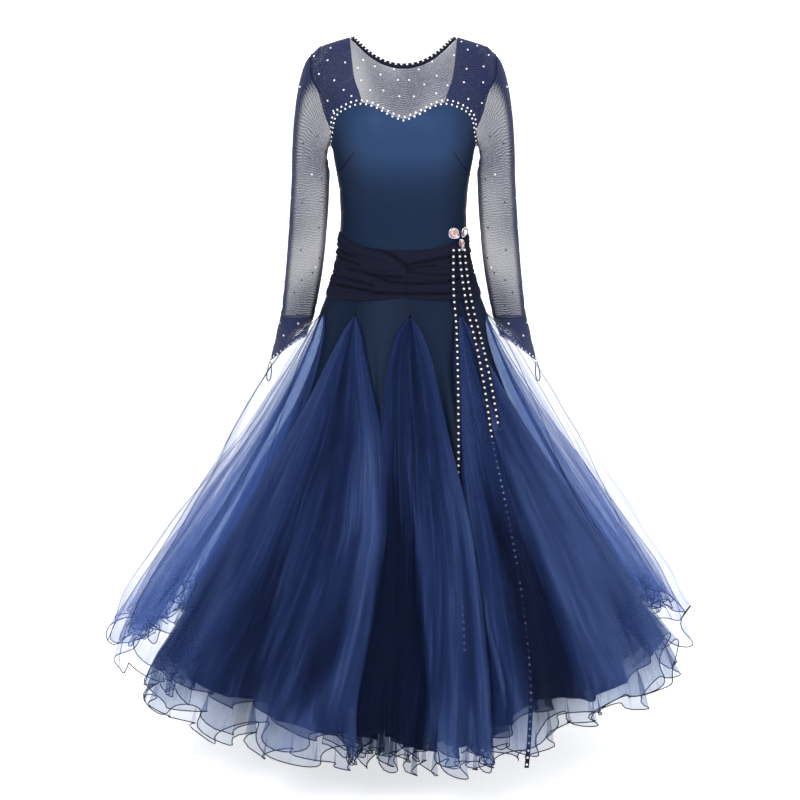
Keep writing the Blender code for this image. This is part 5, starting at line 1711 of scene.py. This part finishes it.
def large_stone(name, way, wide, tip):
    """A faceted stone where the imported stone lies; its rim is given back for the setting."""
    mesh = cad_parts[name].data
    places = mesh_points(mesh)
    centre = places.mean(axis=0)
    normals = np.array([face.normal[:] for face in mesh.polygons])
    areas = np.array([face.area for face in mesh.polygons])
    front = normals[:, 1] < -0.3
    out = unit((normals[front] * areas[front, None]).sum(axis=0))
    right = unit(np.cross((0.0, 0.0, 1.0), -out))
    up = np.cross(out, right)
    right, up = (axis if axis @ sign > 0 else -axis
                 for axis, sign in ((right, np.array((1, 0, 0))), (up, np.array((0, 0, 1)))))
    local = places - centre
    long_way = unit(right * way[0] + up * way[1])
    side_way = np.cross(out, long_way)
    half_long, half_wide, deep = (np.abs(local @ axis).max() for axis in (long_way, side_way, out))
    points, faces = [], []
    for scale, level, shift in CUT:
        turn = 2 * np.pi * (np.arange(STONE_SIDES) + shift) / STONE_SIDES
        across, along = stone_outline(turn, wide, tip)
        points += (centre + side_way * half_wide * scale * across
                   + long_way * half_long * scale * along + out * deep * (2 * level - 1)).tolist()
    for ring in range(len(CUT) - 1):
        for corner in range(STONE_SIDES):
            after = (corner + 1) % STONE_SIDES
            a, b = ring * STONE_SIDES + corner, ring * STONE_SIDES + after
            c, d = b + STONE_SIDES, a + STONE_SIDES
            faces += [[a, b, d], [b, c, d]]
    faces.append([(len(CUT) - 1) * STONE_SIDES + corner for corner in range(STONE_SIDES)])
    faces.append(list(range(STONE_SIDES))[::-1])
    piece = add_mesh(name + "_crystal", points, faces, "brooch")
    piece.data.shade_flat()
    # each facet a colour of its own: the coating's tints and painted reflections
    tints = (0.618034 * np.arange(len(faces)) + 0.37 * len(name)) % 1.0
    store(piece.data, "facet_coat_and_reflection", tints, "FACE")
    if np.dot(piece.data.polygons[-2].normal[:], out) < 0:
        piece.data.flip_normals()
    keep_piece(piece, [name])
    across, along = stone_outline(2 * np.pi * np.arange(40) / 40, wide, tip)
    return (centre + side_way * half_wide * across + long_way * half_long * along
            - out * deep * 0.55)


class MakeBrooch(bpy.types.Operator):
    """Three coated stones in silver settings"""

    bl_idname = "dress.brooch"
    bl_label = "Brooch"

    def execute(self, context):
        rims = [large_stone(*row) for row in LARGE_STONES]
        keep_piece(add_cord("brooch_settings", rims, 0.0014, sides=8, closed=True,
                            finish="silver"))
        return {"FINISHED"}


# ---------------------------------------------------------------- small stones

# rows of stones along the bodice's edge: distance above it, share of the pitch where it starts
EDGE_STONE_ROWS = ((-0.0028, 0.0), (0.0040, 0.5))
# angle up to which they run, how far they lie off the cloth, size of the scattered ones
EDGE_STONES_TO, STONE_CLEAR, SCATTERED = 84, 0.0003, 0.95

def edge_stones(behind):
    """Two staggered rows along the bodice's top edge."""
    table = BACK_EDGE if behind else SWEETHEART
    angles = np.linspace(-EDGE_STONES_TO, EDGE_STONES_TO, 400)
    points, normals = [], []
    for lift, first in EDGE_STONE_ROWS:
        height = edge_height(table, angles) + lift
        place = turned(angles, behind)
        normal = body_normals(place, height)
        doubled = np.abs(angles) > STRAP_ANGLE
        out = np.where(doubled & (lift > 0), STRAP_OUT + STONE_CLEAR, STONE_CLEAR)
        line = body_points(place, height) + normal * out[:, None]
        spots = spaced(line, sizes().stone_pitch, first * sizes().stone_pitch)
        points.append(at_places(line, spots))
        normals.append(unit(at_places(normal, spots)))
    return np.concatenate(points), np.concatenate(normals)


# stones scattered over a yoke and its straps: places across and up
YOKE_STONES = (
    (-0.144, -0.023), (-0.176, -0.038), (-0.149, -0.047), (-0.114, -0.053), (-0.165, -0.075),
    (-0.134, -0.087), (-0.117, -0.107), (-0.100, -0.119), (-0.148, -0.126), (-0.136, -0.146),
    (-0.080, -0.048), (-0.089, -0.063), (-0.057, -0.060), (-0.018, -0.066), (-0.045, -0.077),
    (-0.083, -0.088), (-0.012, -0.088), (0.011, -0.088), (0.029, -0.067), (0.056, -0.051),
    (0.065, -0.079), (0.041, -0.096), (-0.038, -0.108), (-0.064, -0.107), (-0.009, -0.119),
    (0.021, -0.119), (0.064, -0.114), (0.100, -0.037), (0.127, -0.027), (0.114, -0.011),
    (0.147, -0.018), (0.167, -0.037), (0.123, -0.066), (0.157, -0.060), (0.117, -0.092),
    (0.155, -0.090), (0.086, -0.097), (0.125, -0.123), (0.152, -0.129),
)
# stones on a sleeve: height, turn round the arm in degrees from the outside to the front
SLEEVE_STONES = (
    (-0.095, 20), (-0.140, 12), (-0.272, 95), (-0.318, 20), (-0.410, 10), (-0.455, 128),
    (-0.490, 8), (-0.548, 6), (-0.165, 242), (-0.196, 264), (-0.214, 301), (-0.222, 232),
    (-0.282, 241), (-0.329, 297), (-0.379, 237), (-0.426, 287), (-0.440, 225), (-0.470, 246),
    (-0.486, 279), (-0.514, 298), (-0.514, 208), (-0.540, 262),
)
# stones on a cuff above its edge: row and column of its sheet
CUFF_STONES = ((3, 4), (5, 16), (4, 30), (6, 44), (12, 10), (13, 50), (16, 0))


def yoke_stones(behind):
    """Stones scattered over a yoke, between the neck, the armholes and the bodice's edge."""
    steps = np.linspace(-2, 2, 161)
    points, normals = yoke_sheet(behind, steps, 80)
    picked, facing = [], []
    for across, height in YOKE_STONES:
        if behind and abs(across) < NECK_HALF:
            continue
        across = -across if behind else across
        away = np.hypot(points[..., 0] - across, points[..., 2] - height)
        spot = np.unravel_index(np.argmin(away), away.shape)
        over = STRAP_OUT if abs(steps[spot[1]]) > 1.0 else 0.0
        picked.append(points[spot] + normals[spot] * (over + STONE_CLEAR))
        facing.append(normals[spot])
    return np.array(picked), np.array(facing)


def sleeve_stones(grid):
    """Stones scattered down and round a sleeve."""
    middle = grid.mean(axis=1, keepdims=True)
    outward = unit((grid - middle) * (1.0, 1.0, 0.2))
    points, normals = [], []
    turns = np.degrees(ARM_TURNS)
    for height, turn in SLEEVE_STONES:
        column = np.abs(turns - turn).argmin()
        row = np.abs(grid[:, column, 2] - height).argmin()
        points.append(grid[row, column])
        normals.append(outward[row, column])
    return np.array(points), np.array(normals)


def cuff_stones(grid):
    """A row along the pointed edge of a cuff and a few above it."""
    middle = grid.mean(axis=1, keepdims=True)
    outward = unit((grid - middle) * (1.0, 1.0, 0.0))
    loop = np.concatenate([grid[-2], grid[-2, :1]])
    facing = np.concatenate([outward[-2], outward[-2, :1]])
    spots = spaced(loop, sizes().stone_pitch * 0.9, 0.002)
    points, normals = [*at_places(loop, spots)], [*unit(at_places(facing, spots))]
    for row, column in CUFF_STONES:
        points.append(grid[row, column])
        normals.append(outward[row, column])
    return np.array(points), np.array(normals)


class MakeStones(bpy.types.Operator):
    """Small stones on the neck band, the bodice's edge, the yoke, the sleeves and the cuffs"""

    bl_idname = "dress.stones"
    bl_label = "Stones"

    def execute(self, context):
        line, climb, normals = neck_line()
        centre = line + climb * (SEAM_GAP + BINDING_WIDE * 0.70) + normals * BINDING_THICK * 0.30
        loop = np.concatenate([centre, centre[:1]])
        facing = np.concatenate([normals, normals[:1]])
        spots = spaced(loop, sizes().stone_pitch * 0.97)
        add_stones("neck_stones", at_places(loop, spots), unit(at_places(facing, spots)))
        for word, behind in (("front", False), ("back", True)):
            add_stones(f"edge_stones_{word}", *edge_stones(behind))
            add_stones(f"yoke_stones_{word}", *yoke_stones(behind), SCATTERED)
        arm = (("sleeve", sleeve_stones(sleeve_sheet())), ("cuff", cuff_stones(cuff_sheet())))
        for word, flip in (("right", (1.0, 1.0, 1.0)), ("left", (-1.0, 1.0, 1.0))):
            for piece, (points, normals) in arm:
                add_stones(f"{piece}_stones_{word}", points * flip, normals * flip, SCATTERED)
        return {"FINISHED"}


# ---------------------------------------------------------------- stage

def add_area_light(name, place, aim, size, power):
    light = bpy.data.lights.new(name, "AREA")
    light.shape = "DISK"
    light.size = size
    light.energy = power
    lamp = bpy.data.objects.new(name, light)
    lamp.location = place
    lamp.rotation_euler = (Vector(aim) - Vector(place)).to_track_quat("-Z", "Y").to_euler()
    bpy.context.scene.collection.objects.link(lamp)


class MakeStage(bpy.types.Operator):
    """Pale floor and backdrop, soft light and the camera"""

    bl_idname = "dress.stage"
    bl_label = "Stage"

    def execute(self, context):
        scene = context.scene
        sweep = []
        for step in range(SWEEP_STEPS + 1):
            turn = math.pi / 2 * step / SWEEP_STEPS
            sweep.append((SWEEP_START + SWEEP_RADIUS * math.sin(turn),
                          FLOOR_Z + SWEEP_RADIUS * (1 - math.cos(turn))))
        profile = [(PAPER_NEAR, FLOOR_Z), *sweep, PAPER_TOP]
        points = [(side * PAPER_HALF, y, z) for y, z in profile for side in (-1, 1)]
        faces = [[2 * i, 2 * i + 1, 2 * i + 3, 2 * i + 2] for i in range(len(profile) - 1)]
        add_mesh("studio_paper", points, faces, "floor")
        world = bpy.data.worlds.new("studio")
        scene.world = world
        world.use_nodes = True
        sky = world.node_tree.nodes["Background"]
        sky.inputs["Color"].default_value = (1.0, 1.0, 1.0, 1.0)
        sky.inputs["Strength"].default_value = SKY_LIGHT
        for name, lamp in LAMPS.items():
            add_area_light(name, *lamp)
        camera = bpy.data.cameras.new("camera")
        camera.lens = CAMERA_LENS
        camera.sensor_width = CAMERA_SENSOR
        camera.sensor_fit = "HORIZONTAL"
        eye = bpy.data.objects.new("camera", camera)
        eye.location = CAMERA_PLACE
        eye.rotation_euler = (math.radians(CAMERA_TILT), 0.0, 0.0)
        scene.collection.objects.link(eye)
        scene.camera = eye
        scene.view_settings.view_transform = "Standard"
        scene.cycles.transparent_max_bounces = CLEAR_SHEETS
        return {"FINISHED"}


# ---------------------------------------------------------------- panel and run

class DressPanel(bpy.types.Panel):
    """Makes each piece of the dress"""

    bl_idname = "VIEW3D_PT_dress"
    bl_label = "Ballroom dress"
    bl_space_type = "VIEW_3D"
    bl_region_type = "UI"
    bl_category = "Dress"

    def draw(self, context):
        for group in (context.scene.dress_sizes, context.scene.dress_colours):
            for name in group.__annotations__:
                self.layout.prop(group, name)
        for maker in MAKERS:
            self.layout.operator(maker.bl_idname)


MAKERS = (MakeStage, MakeBodice, MakeYoke, MakeSleeves, MakeSash, MakeGores, MakeGodets,
          MakeRibbons, MakeBrooch, MakeStones)
CLASSES = (DressSizes, DressColours, *MAKERS, DressPanel)


def register():
    for each in CLASSES:
        bpy.utils.register_class(each)
    bpy.types.Scene.dress_sizes = PointerProperty(type=DressSizes)
    bpy.types.Scene.dress_colours = PointerProperty(type=DressColours)


def unregister():
    del bpy.types.Scene.dress_sizes
    del bpy.types.Scene.dress_colours
    for each in reversed(CLASSES):
        bpy.utils.unregister_class(each)


def main():
    register()
    bpy.ops.dress.stage()
    bpy.ops.dress.bodice()
    bpy.ops.dress.yoke()
    bpy.ops.dress.sleeves()
    bpy.ops.dress.sash()
    bpy.ops.dress.gores()
    bpy.ops.dress.godets()
    bpy.ops.dress.ribbons()
    bpy.ops.dress.brooch()
    bpy.ops.dress.stones()


if __name__ == "__main__":
    main()
